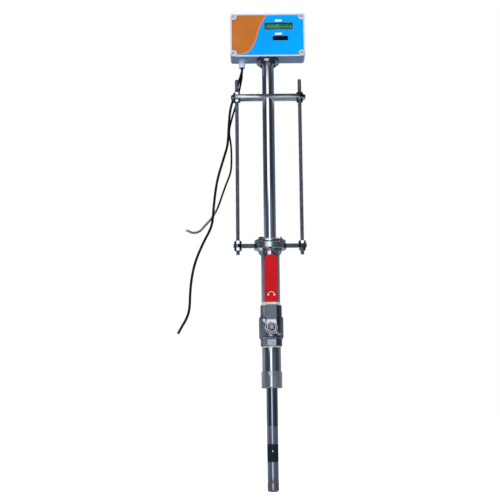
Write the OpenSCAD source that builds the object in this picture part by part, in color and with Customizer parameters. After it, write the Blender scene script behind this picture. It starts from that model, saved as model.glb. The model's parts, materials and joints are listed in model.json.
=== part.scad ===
// Insertion flow meter on a ball valve, millimetres.
// The origin is the centre of the lower face of the pipe coupling.
// +Z runs up the stem, the front with the display faces -Y, +X is to the right.

/* [Pipe connection] */
// outside diameter of the pipe coupling
coupling_d = 53; // [51:0.5:58]
// height of the pipe coupling
coupling_h = 41.7; // [32:0.5:60]
// outside diameter of the pipe nipples
pipe_d = 48.3; // [47.5:0.1:48.6]
// height of bare nipple between coupling and valve
nipple_show = 65.3; // [30:0.5:120]

/* [Ball valve] */
// across flats of the eight-sided ends
valve_af = 54.6; // [54:0.2:58]
// face to face height of the valve
valve_h = 104; // [102:0.5:112]
// outside diameter of the round body
valve_body_d = 63; // [62.5:0.5:68]
// diameter of the ball
ball_d = 54; // [53:0.2:54.4]
// diameter of the way through the ball
ball_bore_d = 36; // [34:0.5:38]

/* [Lever] */
// reach of the lever from the stem to its rounded end
lever_len = 185; // [140:1:260]
// width of the steel strap
strap_w = 26; // [20:0.5:28]
// thickness of the steel strap
strap_t = 4; // [3:0.2:5]
// sideways step that the two bends give the strap
lever_offset = 16; // [10:0.5:24]
// width of the soft sleeve on the lever
sleeve_w = 33; // [30:0.5:38]
// thickness of the soft sleeve
sleeve_t = 8; // [7:0.2:12]
// distance of the sleeve's lower edge from the stem
sleeve_start = 63; // [60:0.5:100]

/* [Cage] */
// height of the stuffing tube between valve and lower crossbar
tube_show = 147; // [140:0.5:220]
// diameter of the gland ring and flange
ring_d = 84; // [82:0.5:96]
// thickness of the gland ring
ring_h = 11; // [9:0.5:14]
// distance between the guard rods
rod_pitch = 168; // [150:0.5:190]
// diameter of the guard rods
rod_d = 10; // [8:0.2:10.4]
// length of the guard rods
rod_len = 475.6; // [380:0.1:600]
// length of the upper crossbar
bar_len = 200; // [190:0.5:220]
// depth of the upper crossbar from front to back
bar_w = 36; // [35:0.5:36.5]
// thickness of the upper crossbar
bar_t = 9.6; // [6:0.2:12]
// distance of the crossbar from the top of the rods
bar_drop = 54.4; // [40:0.5:90]

/* [Probe] */
// outside diameter of the polished stem
stem_d = 32; // [31:0.2:33]
// free space between the tips of the rods and the head flange
head_gap = 43.4; // [20:0.1:120]
// outside diameter of the sensing probe
probe_d = 28.6; // [28:0.1:29]
// reach of the polished probe below the coupling
probe_reach = 95.6; // [60:0.5:160]
// height of the steel ring above the insulator
upper_ring_h = 44.4; // [36:0.5:60]
// height of the insulator
insulator_h = 44; // [36:0.5:60]
// height of the steel ring below the insulator
lower_ring_h = 51; // [40:0.5:70]
// height of the end cap
cap_h = 22.7; // [18:0.5:30]
// diameter of an electrode
electrode_d = 4.3; // [3:0.1:6]
// depth of the electrodes below the top of the insulator
electrode_drop = 17; // [12:0.5:24]

/* [Head] */
// width of the housing
box_w = 200; // [190:0.5:230]
// height of the housing
box_h = 120; // [116:0.5:150]
// depth of the housing from front to back
box_d = 56; // [55.5:0.5:70]
// depth of the lid
lid_d = 8; // [7.5:0.1:8.4]
// wall thickness of the housing
wall = 3; // [2.4:0.1:3.4]
// corner radius of the housing
corner_r = 7; // [5:0.5:9]
// diameter of the head flange
flange_d = 60; // [58:0.5:66]
// thickness of the head flange
flange_h = 6; // [4:0.2:10]
// thickness of the spacer between flange and housing
spacer_h = 6.4; // [4:0.2:8]
// width of the display window
window_w = 75.5; // [60:0.5:80]
// height of the display window
window_h = 18.7; // [16:0.2:22]
// width of a key
key_w = 8.5; // [7:0.1:8.6]
// height of a key
key_h = 9.1; // [8:0.1:11]
// travel of a key
key_travel = 0.8; // [0.5:0.1:1]

/* [Cables] */
// outside diameter of the supply cable
power_d = 6.6; // [5.4:0.1:7]
// outside diameter of the signal cable
signal_d = 5.2; // [4.4:0.1:5.4]
// outside diameter of one signal core
core_d = 1.8; // [1.4:0.1:2]

/* [Hidden] */
$fn = 48;

// clearances, radial
fit = 0.05;
slip = 0.12;
hole = 0.3;
cut = 1;

// small sizes
edge = 1.2;
thread_in = 16;
pipe_t = 3.6;
nipple_in = 18;
nipple_top_in = 14;
coupling_bore_d = 45;
cap_end_h = 16;
ball_rise = 45;
shoulder_h = 6;
neck_end_h = 26;
neck_shoulder_h = 7;
spigot_h = 8;
seal_t = 1.5;
seal_step = 1;
cavity_gap = 0.6;
seat_h = 7;
seat_r = 25.5;
seat_bore_gap = 1;
valve_bore_d = 38;
seat_off_share = 0.56;
boss_r = 13;
boss_y = 39;
pad_r = 17;
pad_t = 4;
lug_reach = 26.2;
lug_angle = 43.5;
lug_r = 3.5;
lug_len = 7;
lug_arm = 7;
packing_r = 10;
packing_len = 4;
packing_nut_af = 24;
packing_nut_h = 2.6;
stem_r = 7.2;
stem_flange_r = 9.2;
stem_flange_h = 1.6;
stem_flange_y = 28.9;
tang_t = 4;
tang_w = 8.4;
tang_y = 22;
tang_r = 4.9;
stem_tip_r = 5;
stem_tip_len = 14;
stem_sq = 10;
washer_r = 10;
washer_h = 2;
stem_nut_af = 17;
stem_nut_h = 8.4;
lever_hub_r = 15;
bend_one = 22;
bend_two = 56;
bend_share = 0.24;
sleeve_wall = 1.6;
tape_t = 0.45;
tape_h = 8;
tape_low_h = 4;
neck_h = 10;
chamber_h = 84;
throat_gap = 1.4;
gland_bore_d = 41;
packing_count = 5;
packing_pitch = 9.4;
packing_gap = 0.3;
box_flange_h = 5;
follower_gap = 2;
follower_d = 82;
follower_h = 6.4;
hub_h = 5;
hub_r = 18.5;
seat_gap = 0.3;
bolt_circle_r = 33;
bolt_r = 4;
bolt_af = 13;
bolt_head_h = 5.3;
bolt_nut_h = 6.5;
bolt_tail = 4.5;
fillet_r = 25.2;
fillet_h = 5;
arm_w = 16;
arm_t = 9;
ear_r = 12;
rod_drop = 18;
rod_tip = 1.2;
rod_nut_af = 17;
rod_nut_h = 8.4;
probe_bore_d = 23;
spigot_r = 12.9;
head_spigot_h = 6;
cap_lip = 0.4;
cap_round_r = 6;
electrode_proud = 0.3;
electrode_head_r = 3.5;
electrode_head_t = 1.5;
bobbin_r = 4;
bobbin_disc_r = 11.3;
bobbin_disc_h = 4;
bobbin_low = 14;
bobbin_high = 24;
coil_r = 9.4;
coil_share = 0.84;
lead_r = 3;
lead_up = 12;
flange_bolt_r = 2.5;
flange_bolt_circle_r = 22.6;
flange_bolt_af = 8;
flange_bolt_head_h = 3.8;
flange_bolt_nut_h = 4;
flange_bolt_end = 2.5;
lead_hole_r = 8;
gasket_t = 1;
gasket_w = 1.6;
pillar_r = 6.5;
pillar_in = 9;
lid_face_t = 3;
screw_head_r = 4;
screw_head_h = 3.2;
screw_sink = 0.5;
screw_r = 2;
screw_len = 16;
slot_w = 1.2;
slot_len = 12;
slot_angle = 35;
slot_deep = 1.4;
label_t = 0.5;
label_edge = 4;
notch_r = 13;
window_x = 29.75;
window_z = 24.75;
window_ledge = 2.2;
window_t = 1.4;
window_sink = 0.5;
key_pitch = 9.95;
keys_x = 34.2;
keys_z = 9.5;
key_proud = 0.8;
key_skirt_h = 12.4;
key_skirt_t = 1;
key_back = 1.4;
key_round = 1;
board_w = 150;
board_h = 76;
board_t = 1.6;
board_y = 17;
post_x = 66;
post_z = 32;
post_r = 3.5;
lcd_w = 80;
lcd_h = 26;
lcd_d = 7.2;
switch_w = 6;
switch_gap = 0.2;
term_w = 46;
term_h = 12;
term_d = 7.4;
term_x = 42;
term_z = 22;
term_ways = 6;
term_screw_r = 2;
gland_in = 30.4;
gland_thread_r = 8;
gland_thread_h = 12;
gland_hex_af = 20;
gland_hex_h = 5.4;
gland_low_r = 7.6;
gland_low_h = 7;
gland_nut_r = 8.8;
gland_nut_h = 17.8;
gland_nut_round = 2;
dome_in_share = 0.3;
dome_up_share = 0.7;
gland_bore_r = 6.2;
gland_lock_af = 22;
gland_lock_h = 5;
power_off = 3;
signal_off = 3.2;

// derived heights
valve_z = coupling_h + nipple_show;
valve_top = valve_z + valve_h;
box_flange_z = valve_top + tube_show;
ring_z = box_flange_z + box_flange_h;
rod_z = ring_z - rod_drop;
rod_top = rod_z + rod_len;
follower_z = ring_z + ring_h + follower_gap;
hub_top = follower_z + follower_h + hub_h;
sleeve_z = hub_top + seat_gap;
flange_z = rod_top + head_gap;
stem_len = flange_z - sleeve_z;
spacer_z = flange_z + flange_h;
box_z = spacer_z + spacer_h;
box_mid = box_z + box_h / 2;
ball_z = valve_z + ball_rise;
ball_r = ball_d / 2;
cavity_r = ball_r + cavity_gap;
seat_off = ball_r * seat_off_share;
cap_face = valve_z + cap_end_h + shoulder_h;
body_face = cap_face + seal_t;
body_shoulder = valve_top - neck_end_h - neck_shoulder_h;
bar_z = rod_top - bar_drop;
arm_z = ring_z + (ring_h - arm_t) / 2;
probe_z = -probe_reach;
upper_ring_z = probe_z - upper_ring_h;
insulator_z = upper_ring_z - insulator_h;
lower_ring_z = insulator_z - lower_ring_h;
cap_z = lower_ring_z - cap_h;
electrode_z = upper_ring_z - electrode_drop;
pipe_r = pipe_d / 2;
probe_r = probe_d / 2;
strap_y = boss_y + packing_nut_h + fit;
stem_tip_y = strap_y + strap_t + stem_tip_len;
grip_y = strap_y + lever_offset;
sleeve_len = lever_len - sleeve_start;
sleeve_low = ball_z + sleeve_start;
box_front = -box_d / 2;
box_back = box_d / 2;
part_y = box_front + lid_d;
hex_share = 1 / cos(30);
oct_share = 1 / cos(22.5);
chamber_z = ring_z + ring_h - chamber_h;
tube_r = gland_bore_d / 2;
nose_z = chamber_z + packing_count * packing_pitch + packing_gap;
key_z0 = box_mid - keys_z;
lid_inner = box_front + lid_face_t;
board_front = -board_y;
gland_x = box_w / 2 - gland_in;

// shared shapes
module tube(r_out, r_in, h) {
    difference() {
        cylinder(r = r_out, h = h);
        translate([0, 0, -cut]) cylinder(r = r_in, h = h + 2 * cut);
    }
}

module hex_piece(af, h, r_in = 0) {
    difference() {
        cylinder(r = af / 2 * hex_share, h = h, $fn = 6);
        if (r_in > 0)
            translate([0, 0, -cut]) cylinder(r = r_in, h = h + 2 * cut);
    }
}

module octagon_piece(af, h) {
    rotate([0, 0, 22.5]) cylinder(r = af / 2 * oct_share, h = h, $fn = 8);
}

// lies along -Y and starts at the distance y from the stem axis
module forward(y, z = 0, x = 0) {
    translate([x, -y, z]) rotate([90, 0, 0]) children();
}

// flat plate seen from the front, from depth y0 to y1
module plate(y0, y1) {
    translate([0, y1, box_mid]) rotate([90, 0, 0]) linear_extrude(height = y1 - y0) children();
}

module round_rect(w, h, r) {
    square([w - 2 * r, h], center = true);
    square([w, h - 2 * r], center = true);
    for (x = [-1, 1], z = [-1, 1])
        translate([x * (w / 2 - r), z * (h / 2 - r)]) circle(r = r);
}

module quarter_turns(r) {
    for (a = [45 : 90 : 315]) rotate([0, 0, a]) translate([r, 0, 0]) children();
}

module both_sides(x) {
    for (s = [-1, 1]) translate([s * x, 0, 0]) children();
}

// pipe connection
module process_coupling() color([0.42, 0.42, 0.46]) {
    r = coupling_d / 2;
    low_r = coupling_bore_d / 2;
    top_r = pipe_r + fit;
    step_z = coupling_h - nipple_in;
    rotate_extrude() polygon([
        [low_r + edge, 0], [r - edge, 0], [r, edge], [r, coupling_h - edge],
        [r - edge, coupling_h], [top_r, coupling_h], [top_r, step_z], [low_r, step_z],
        [low_r, edge]]);
}

module lower_nipple() color([0.4, 0.4, 0.43])
    translate([0, 0, coupling_h - nipple_in])
        tube(pipe_r, pipe_r - pipe_t, nipple_in + nipple_show + nipple_top_in);

module thread_tape() color([0.84, 0.86, 0.7]) {
    translate([0, 0, valve_z - tape_low_h])
        tube(pipe_r + fit + tape_t, pipe_r + fit, tape_low_h);
    translate([0, 0, valve_top]) tube(pipe_r + fit + tape_t, pipe_r + fit, tape_h);
}

// ball valve
module valve_end_cap() color([0.4, 0.4, 0.44]) difference() {
    union() {
        translate([0, 0, valve_z]) octagon_piece(valve_af, cap_end_h);
        translate([0, 0, valve_z + cap_end_h])
            cylinder(r1 = valve_af / 2, r2 = valve_body_d / 2, h = shoulder_h);
        translate([0, 0, cap_face]) cylinder(r = cavity_r - fit, h = spigot_h);
    }
    translate([0, 0, valve_z - cut]) cylinder(r = pipe_r + fit, h = nipple_top_in + cut);
    translate([0, 0, valve_z]) cylinder(r = valve_bore_d / 2, h = valve_h);
    translate([0, 0, ball_z - seat_off - seat_h]) cylinder(r = seat_r + fit, h = valve_h);
    translate([0, 0, ball_z]) sphere(r = ball_r + hole);
}

module body_seal() color([0.8, 0.8, 0.75])
    translate([0, 0, cap_face])
        tube(valve_body_d / 2 - seal_step, cavity_r + hole, seal_t);

module valve_body() color([0.42, 0.42, 0.46]) difference() {
    union() {
        translate([0, 0, body_face])
            cylinder(r = valve_body_d / 2, h = body_shoulder - body_face);
        translate([0, 0, body_shoulder])
            cylinder(r1 = valve_body_d / 2, r2 = valve_af / 2, h = neck_shoulder_h);
        translate([0, 0, valve_top - neck_end_h]) octagon_piece(valve_af, neck_end_h);
        forward(0, ball_z) cylinder(r = boss_r, h = boss_y);
        forward(boss_y - pad_t - edge, ball_z) cylinder(r = pad_r, h = pad_t);
        for (a = [-lug_angle, 180 - lug_angle])
            forward(boss_y - pad_t - edge, ball_z) rotate([0, 0, a]) {
                translate([lug_reach, 0, 0]) cylinder(r = lug_r, h = pad_t + lug_len);
                translate([0, -lug_arm / 2, 0]) cube([lug_reach, lug_arm, pad_t]);
            }
    }
    translate([0, 0, body_face - cut]) cylinder(r = cavity_r, h = ball_z + seat_off - body_face + cut);
    translate([0, 0, ball_z]) cylinder(r = seat_r + fit, h = seat_off + seat_h);
    translate([0, 0, ball_z]) cylinder(r = valve_bore_d / 2, h = valve_h);
    translate([0, 0, valve_top - thread_in]) cylinder(r = pipe_r + fit, h = thread_in + cut);
    forward(0, ball_z) cylinder(r = stem_r + slip, h = boss_y + cut);
    forward(0, ball_z) cylinder(r = stem_flange_r + slip, h = stem_flange_y + slip);
    forward(boss_y - packing_len - packing_nut_h - edge, ball_z)
        cylinder(r = packing_r + fit, h = boss_y);
}

module valve_ball() color([0.8, 0.8, 0.82]) difference() {
    translate([0, 0, ball_z]) sphere(r = ball_r);
    translate([0, 0, ball_z - ball_d]) cylinder(r = ball_bore_d / 2, h = 2 * ball_d);
    forward(tang_y - slip, ball_z) cylinder(r = tang_r, h = ball_d);
}

module seat_rings() color([0.92, 0.92, 0.9]) difference() {
    union()
        for (z = [seat_off, -seat_off - seat_h])
            translate([0, 0, ball_z + z]) tube(seat_r, ball_bore_d / 2 + seat_bore_gap, seat_h);
    translate([0, 0, ball_z]) sphere(r = ball_r + fit);
}

module stem_packing() color([0.9, 0.9, 0.86])
    forward(boss_y - packing_len - packing_nut_h - edge, ball_z)
        tube(packing_r, stem_r + slip, packing_len);

module packing_nut() color([0.62, 0.62, 0.64]) {
    forward(boss_y - packing_nut_h - edge, ball_z)
        tube(packing_r, stem_r + slip, packing_nut_h + edge);
    forward(boss_y, ball_z) hex_piece(packing_nut_af, packing_nut_h, stem_r + slip);
}

module valve_stem() color([0.7, 0.7, 0.72]) {
    forward(tang_y, ball_z) translate([-tang_t / 2, -tang_w / 2, 0])
        cube([tang_t, tang_w, stem_flange_y - tang_y]);
    forward(stem_flange_y - stem_flange_h, ball_z)
        cylinder(r = stem_flange_r, h = stem_flange_h);
    forward(stem_flange_y, ball_z) cylinder(r = stem_r, h = strap_y - stem_flange_y);
    forward(strap_y, ball_z) translate([-stem_sq / 2, -stem_sq / 2, 0])
        cube([stem_sq, stem_sq, strap_t - slip]);
    forward(strap_y, ball_z) cylinder(r = stem_tip_r, h = strap_t + stem_tip_len - edge);
    forward(stem_tip_y - edge, ball_z) cylinder(r1 = stem_tip_r, r2 = stem_tip_r - edge, h = edge);
}

// side view of the strap, as [distance to the front, height above the stem]
module strap_side(z_low, z_high) {
    polygon([
        [strap_y, z_low], [strap_y, bend_one], [grip_y, bend_two], [grip_y, z_high],
        [grip_y + strap_t, z_high], [grip_y + strap_t, bend_two - strap_t * bend_share],
        [strap_y + strap_t, bend_one - strap_t * bend_share], [strap_y + strap_t, z_low]]);
}

module lever_arm() color([0.62, 0.62, 0.65]) difference() {
    translate([0, 0, ball_z]) intersection() {
        translate([-lever_len, 0, 0]) rotate([90, 0, 90]) linear_extrude(height = 2 * lever_len)
            mirror([1, 0]) strap_side(-lever_hub_r, lever_len - sleeve_wall);
        rotate([90, 0, 0]) linear_extrude(height = 2 * lever_len) {
            circle(r = lever_hub_r);
            translate([-strap_w / 2, 0])
                square([strap_w, lever_len - strap_w / 2 - sleeve_wall]);
            translate([0, lever_len - strap_w / 2 - sleeve_wall]) circle(r = strap_w / 2);
        }
    }
    forward(strap_y - cut, ball_z) translate([-stem_sq / 2 - fit, -stem_sq / 2 - fit, 0])
        cube([stem_sq + 2 * fit, stem_sq + 2 * fit, strap_t + 2 * cut]);
}

module sleeve_outline(w, r_top) {
    translate([-w / 2, 0]) square([w, sleeve_len - w / 2]);
    translate([0, sleeve_len - w / 2]) circle(r = r_top);
}

module lever_sleeve() color([0.78, 0.08, 0.1]) {
    y0 = grip_y - (sleeve_t - strap_t) / 2;
    difference() {
        union() {
            forward(y0 + edge, sleeve_low) linear_extrude(height = sleeve_t - 2 * edge)
                sleeve_outline(sleeve_w, sleeve_w / 2);
            forward(y0, sleeve_low) linear_extrude(height = sleeve_t)
                sleeve_outline(sleeve_w - 2 * edge, sleeve_w / 2 - edge);
        }
        forward(grip_y - fit, sleeve_low - cut) linear_extrude(height = strap_t + 2 * fit) {
            translate([-strap_w / 2 - fit, 0])
                square([strap_w + 2 * fit, sleeve_len - strap_w / 2 - sleeve_wall + cut]);
            translate([0, sleeve_len - strap_w / 2 - sleeve_wall + cut])
                circle(r = strap_w / 2 + fit);
        }
    }
}

module stem_washer() color([0.75, 0.75, 0.77])
    forward(strap_y + strap_t, ball_z) tube(washer_r, stem_tip_r + fit, washer_h);

module stem_nut() color([0.7, 0.7, 0.72])
    forward(strap_y + strap_t + washer_h, ball_z)
        hex_piece(stem_nut_af, stem_nut_h, stem_tip_r + fit);

// cage
module stuffing_box() color([0.4, 0.4, 0.43]) {
    low_z = valve_top - thread_in + edge;
    throat_r = probe_r + throat_gap;
    difference() {
        rotate_extrude() polygon([
            [tube_r, low_z], [pipe_r, low_z], [pipe_r, box_flange_z - fillet_h],
            [fillet_r, box_flange_z], [ring_d / 2 - edge, box_flange_z],
            [ring_d / 2, box_flange_z + edge], [ring_d / 2, ring_z], [tube_r, ring_z],
            [tube_r, chamber_z],
            [throat_r, chamber_z], [throat_r, chamber_z - neck_h],
            [tube_r, chamber_z - neck_h - edge]]);
        translate([0, 0, box_flange_z - cut])
            quarter_turns(bolt_circle_r) cylinder(r = bolt_r + hole, h = box_flange_h + 2 * cut);
    }
}

module packing_rings() color([0.9, 0.9, 0.85])
    for (i = [0 : packing_count - 1])
        translate([0, 0, chamber_z + i * packing_pitch])
            tube(tube_r - fit, probe_r + slip, packing_pitch - packing_gap);

module gland_follower() color([0.55, 0.55, 0.58]) {
    nose_r = tube_r - slip;
    in_r = probe_r + slip;
    difference() {
        rotate_extrude() polygon([
            [in_r, nose_z], [nose_r, nose_z], [nose_r, follower_z],
            [follower_d / 2, follower_z], [follower_d / 2, follower_z + follower_h - edge],
            [follower_d / 2 - edge, follower_z + follower_h], [hub_r, follower_z + follower_h],
            [hub_r, hub_top], [in_r, hub_top]]);
        translate([0, 0, follower_z - cut])
            quarter_turns(bolt_circle_r) cylinder(r = bolt_r + hole, h = follower_h + 2 * cut);
    }
}

module follower_bolts() color([0.72, 0.72, 0.74]) {
    head_z = follower_z + follower_h;
    quarter_turns(bolt_circle_r) {
        translate([0, 0, head_z]) hex_piece(bolt_af, bolt_head_h);
        translate([0, 0, box_flange_z - bolt_nut_h]) hex_piece(bolt_af, bolt_nut_h);
        translate([0, 0, box_flange_z - bolt_nut_h - bolt_tail])
            cylinder(r = bolt_r, h = head_z - box_flange_z + bolt_nut_h + bolt_tail);
    }
}

module lower_crossbar() color([0.55, 0.55, 0.58]) difference() {
    union() {
        rotate_extrude() polygon([
            [0, ring_z], [ring_d / 2, ring_z], [ring_d / 2, ring_z + ring_h - edge],
            [ring_d / 2 - edge, ring_z + ring_h], [0, ring_z + ring_h]]);
        translate([-rod_pitch / 2, -arm_w / 2, arm_z]) cube([rod_pitch, arm_w, arm_t]);
        both_sides(rod_pitch / 2) translate([0, 0, arm_z]) cylinder(r = ear_r, h = arm_t);
    }
    translate([0, 0, ring_z - cut]) cylinder(r = tube_r, h = ring_h + 2 * cut);
    both_sides(rod_pitch / 2) translate([0, 0, arm_z - cut])
        cylinder(r = rod_d / 2 + hole, h = arm_t + 2 * cut);
    translate([0, 0, ring_z - cut])
        quarter_turns(bolt_circle_r) cylinder(r = bolt_r + hole, h = ring_h + 2 * cut);
}

module lower_lock_nuts() color([0.72, 0.72, 0.74])
    both_sides(rod_pitch / 2) for (z = [arm_z - rod_nut_h, arm_z + arm_t])
        translate([0, 0, z]) hex_piece(rod_nut_af, rod_nut_h, rod_d / 2 + fit);

module guard_rod() {
    r = rod_d / 2;
    translate([0, 0, rod_z]) rotate_extrude() polygon([
        [0, 0], [r - rod_tip, 0], [r, rod_tip], [r, rod_len - rod_tip],
        [r - rod_tip, rod_len], [0, rod_len]]);
}

module guard_rod_left() color([0.65, 0.65, 0.67]) translate([-rod_pitch / 2, 0, 0]) guard_rod();

module guard_rod_right() color([0.65, 0.65, 0.67]) translate([rod_pitch / 2, 0, 0]) guard_rod();

module upper_crossbar() color([0.6, 0.6, 0.63]) difference() {
    translate([0, 0, bar_z]) linear_extrude(height = bar_t) {
        square([bar_len - bar_w, bar_w], center = true);
        both_sides((bar_len - bar_w) / 2) circle(r = bar_w / 2);
    }
    translate([0, 0, bar_z - cut]) cylinder(r = stem_d / 2 + hole, h = bar_t + 2 * cut);
    both_sides(rod_pitch / 2) translate([0, 0, bar_z - cut])
        cylinder(r = rod_d / 2 + hole, h = bar_t + 2 * cut);
}

module upper_lock_nuts() color([0.72, 0.72, 0.74])
    both_sides(rod_pitch / 2) for (z = [bar_z - rod_nut_h, bar_z + bar_t])
        translate([0, 0, z]) hex_piece(rod_nut_af, rod_nut_h, rod_d / 2 + slip);

// probe
module probe_tube() color([0.8, 0.8, 0.82])
    translate([0, 0, probe_z]) tube(probe_r, probe_bore_d / 2, spacer_z - probe_z);

module stem_sleeve() color([0.85, 0.85, 0.87])
    translate([0, 0, sleeve_z]) tube(stem_d / 2, probe_r + fit, stem_len);

module sensor_head_upper() color([0.66, 0.66, 0.68]) {
    in_r = probe_bore_d / 2;
    rotate_extrude() polygon([
        [spigot_r + fit, upper_ring_z], [probe_r, upper_ring_z], [probe_r, probe_z],
        [in_r - fit, probe_z], [in_r - fit, probe_z + head_spigot_h],
        [in_r - edge, probe_z + head_spigot_h], [in_r - edge, probe_z - head_spigot_h],
        [in_r, probe_z - head_spigot_h], [in_r, upper_ring_z + head_spigot_h],
        [spigot_r + fit, upper_ring_z + head_spigot_h]]);
}

module insulator_sleeve() color([0.14, 0.17, 0.2]) difference() {
    union() {
        translate([0, 0, insulator_z]) cylinder(r = probe_r, h = insulator_h);
        translate([0, 0, insulator_z - head_spigot_h])
            cylinder(r = spigot_r, h = insulator_h + 2 * head_spigot_h);
    }
    translate([0, 0, insulator_z - insulator_h])
        cylinder(r = probe_bore_d / 2, h = 3 * insulator_h);
    forward(-probe_d, electrode_z) cylinder(r = electrode_d / 2 + fit, h = 2 * probe_d);
}

module electrodes() color([0.92, 0.92, 0.9])
    for (a = [0, 180]) rotate([0, 0, a]) {
        forward(probe_bore_d / 2 - electrode_head_t, electrode_z)
            cylinder(r = electrode_head_r, h = electrode_head_t - 2 * hole);
        forward(probe_bore_d / 2 - electrode_head_t, electrode_z)
            cylinder(r = electrode_d / 2, h = (probe_d - probe_bore_d) / 2 + electrode_head_t
                + electrode_proud);
    }

module sensor_head_lower() color([0.62, 0.62, 0.64]) {
    in_r = probe_bore_d / 2;
    sock_r = spigot_r + fit;
    rotate_extrude() polygon([
        [sock_r, lower_ring_z], [probe_r, lower_ring_z], [probe_r, insulator_z],
        [sock_r, insulator_z], [sock_r, insulator_z - head_spigot_h],
        [in_r, insulator_z - head_spigot_h], [in_r, lower_ring_z + head_spigot_h],
        [sock_r, lower_ring_z + head_spigot_h]]);
}

module end_cap() color([0.5, 0.5, 0.52]) {
    r = probe_r + cap_lip;
    centre_z = cap_z + cap_round_r;
    rotate_extrude() polygon(concat(
        [[0, cap_z]],
        [for (a = [0 : 15 : 90])
            [r - cap_round_r + cap_round_r * sin(a), centre_z - cap_round_r * cos(a)]],
        [[r, lower_ring_z], [spigot_r, lower_ring_z], [spigot_r, lower_ring_z + head_spigot_h],
        [0, lower_ring_z + head_spigot_h]]));
}

module coil_core() color([0.3, 0.3, 0.33]) {
    low_z = lower_ring_z + bobbin_low;
    high_z = probe_z - bobbin_high;
    translate([0, 0, low_z]) cylinder(r = bobbin_disc_r, h = bobbin_disc_h);
    translate([0, 0, low_z]) cylinder(r = bobbin_r, h = high_z - low_z);
    translate([0, 0, high_z - bobbin_disc_h]) cylinder(r = bobbin_disc_r, h = bobbin_disc_h);
}

module field_coil() color([0.72, 0.38, 0.2]) {
    room = probe_z - bobbin_high - lower_ring_z - bobbin_low - 2 * bobbin_disc_h;
    translate([0, 0, lower_ring_z + bobbin_low + bobbin_disc_h + room * (1 - coil_share) / 2])
        tube(coil_r, bobbin_r + fit, room * coil_share);
}

module sensor_leads() color([0.2, 0.2, 0.22])
    translate([0, 0, probe_z - bobbin_high])
        cylinder(r = lead_r, h = box_z + lead_up - probe_z + bobbin_high);

// head
module head_flange() color([0.7, 0.7, 0.72]) translate([0, 0, flange_z]) difference() {
    tube(flange_d / 2, probe_r + fit, flange_h);
    translate([0, 0, -cut])
        quarter_turns(flange_bolt_circle_r) cylinder(r = flange_bolt_r + slip, h = flange_h + 2 * cut);
}

module flange_spacer() color([0.08, 0.08, 0.09]) translate([0, 0, spacer_z]) difference() {
    tube(flange_d / 2 - edge, lead_hole_r, spacer_h);
    translate([0, 0, -cut])
        quarter_turns(flange_bolt_circle_r) cylinder(r = flange_bolt_r + slip, h = spacer_h + 2 * cut);
}

module flange_bolts() color([0.3, 0.3, 0.32]) {
    nut_z = box_z + wall;
    quarter_turns(flange_bolt_circle_r) {
        translate([0, 0, flange_z - flange_bolt_head_h])
            hex_piece(flange_bolt_af, flange_bolt_head_h);
        translate([0, 0, flange_z - flange_bolt_head_h]) cylinder(r = flange_bolt_r,
            h = nut_z - flange_z + flange_bolt_head_h + flange_bolt_nut_h + flange_bolt_end);
        translate([0, 0, nut_z]) hex_piece(flange_bolt_af, flange_bolt_nut_h);
    }
}

module pillars(r, y0, y1) {
    plate(y0, y1) for (x = [-1, 1], z = [-1, 1])
        translate([x * (box_w / 2 - pillar_in), z * (box_h / 2 - pillar_in)]) circle(r = r);
}

module box_base() color([0.72, 0.74, 0.8]) difference() {
    union() {
        difference() {
            plate(part_y, box_back) round_rect(box_w, box_h, corner_r);
            plate(part_y - cut, box_back - wall)
                round_rect(box_w - 2 * wall, box_h - 2 * wall, corner_r - wall);
        }
        pillars(pillar_r, part_y, box_back - wall / 2);
        for (x = [-1, 1], z = [-1, 1])
            forward(-box_back + wall / 2, box_mid + z * post_z, x * post_x)
                cylinder(r = post_r, h = box_back - wall / 2 + board_y - board_t);
    }
    pillars(screw_r - fit, part_y - cut, part_y + screw_len);
    translate([0, 0, box_z - cut]) {
        cylinder(r = lead_hole_r, h = wall + 2 * cut);
        quarter_turns(flange_bolt_circle_r) cylinder(r = flange_bolt_r + slip, h = wall + 2 * cut);
        translate([-gland_x, 0, 0]) cylinder(r = gland_thread_r + fit, h = wall + 2 * cut);
    }
}

module lid_gasket() color([0.12, 0.12, 0.13])
    plate(part_y - gasket_t, part_y) difference() {
        inset = wall - gasket_w;
        round_rect(box_w - inset, box_h - inset, corner_r - inset / 2);
        round_rect(box_w - inset - 2 * gasket_w, box_h - inset - 2 * gasket_w,
            corner_r - inset / 2 - gasket_w);
    }

module label_shape(gap) {
    difference() {
        square([box_w - 2 * label_edge + 2 * gap, box_h - 2 * label_edge + 2 * gap], center = true);
        for (x = [-1, 1], z = [-1, 1])
            translate([x * (box_w / 2 - pillar_in), z * (box_h / 2 - pillar_in)])
                circle(r = notch_r - gap);
        for (x = [-1, 1], z = [-1, 1])
            translate([x * (box_w / 2 - pillar_in / 2), z * (box_h / 2 - pillar_in / 2)])
                square(notch_r, center = true);
    }
}

module key_holes(grow) {
    for (i = [0 : 3]) translate([keys_x + (i - 1.5) * key_pitch, -keys_z])
        square([key_w + 2 * grow, key_h + 2 * grow], center = true);
}

module box_lid() color([0.78, 0.8, 0.87]) difference() {
    union() {
        difference() {
            plate(box_front, part_y - gasket_t) round_rect(box_w, box_h, corner_r);
            plate(lid_inner, part_y)
                round_rect(box_w - 2 * wall, box_h - 2 * wall, corner_r - wall);
        }
        pillars(pillar_r, lid_inner - fit, part_y - gasket_t);
    }
    plate(box_front - cut, box_front + label_t) label_shape(fit);
    plate(box_front - cut, box_front + label_t + window_sink + window_t)
        translate([window_x, window_z]) square([window_w + 2 * fit, window_h + 2 * fit], center = true);
    plate(box_front - cut, lid_inner + cut) translate([window_x, window_z])
        square([window_w - 2 * window_ledge, window_h - 2 * window_ledge], center = true);
    plate(box_front - cut, lid_inner + cut) key_holes(hole);
    pillars(screw_head_r + fit, box_front - cut, box_front + screw_sink + screw_head_h);
    pillars(screw_r + slip, box_front, part_y + cut);
}

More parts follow.
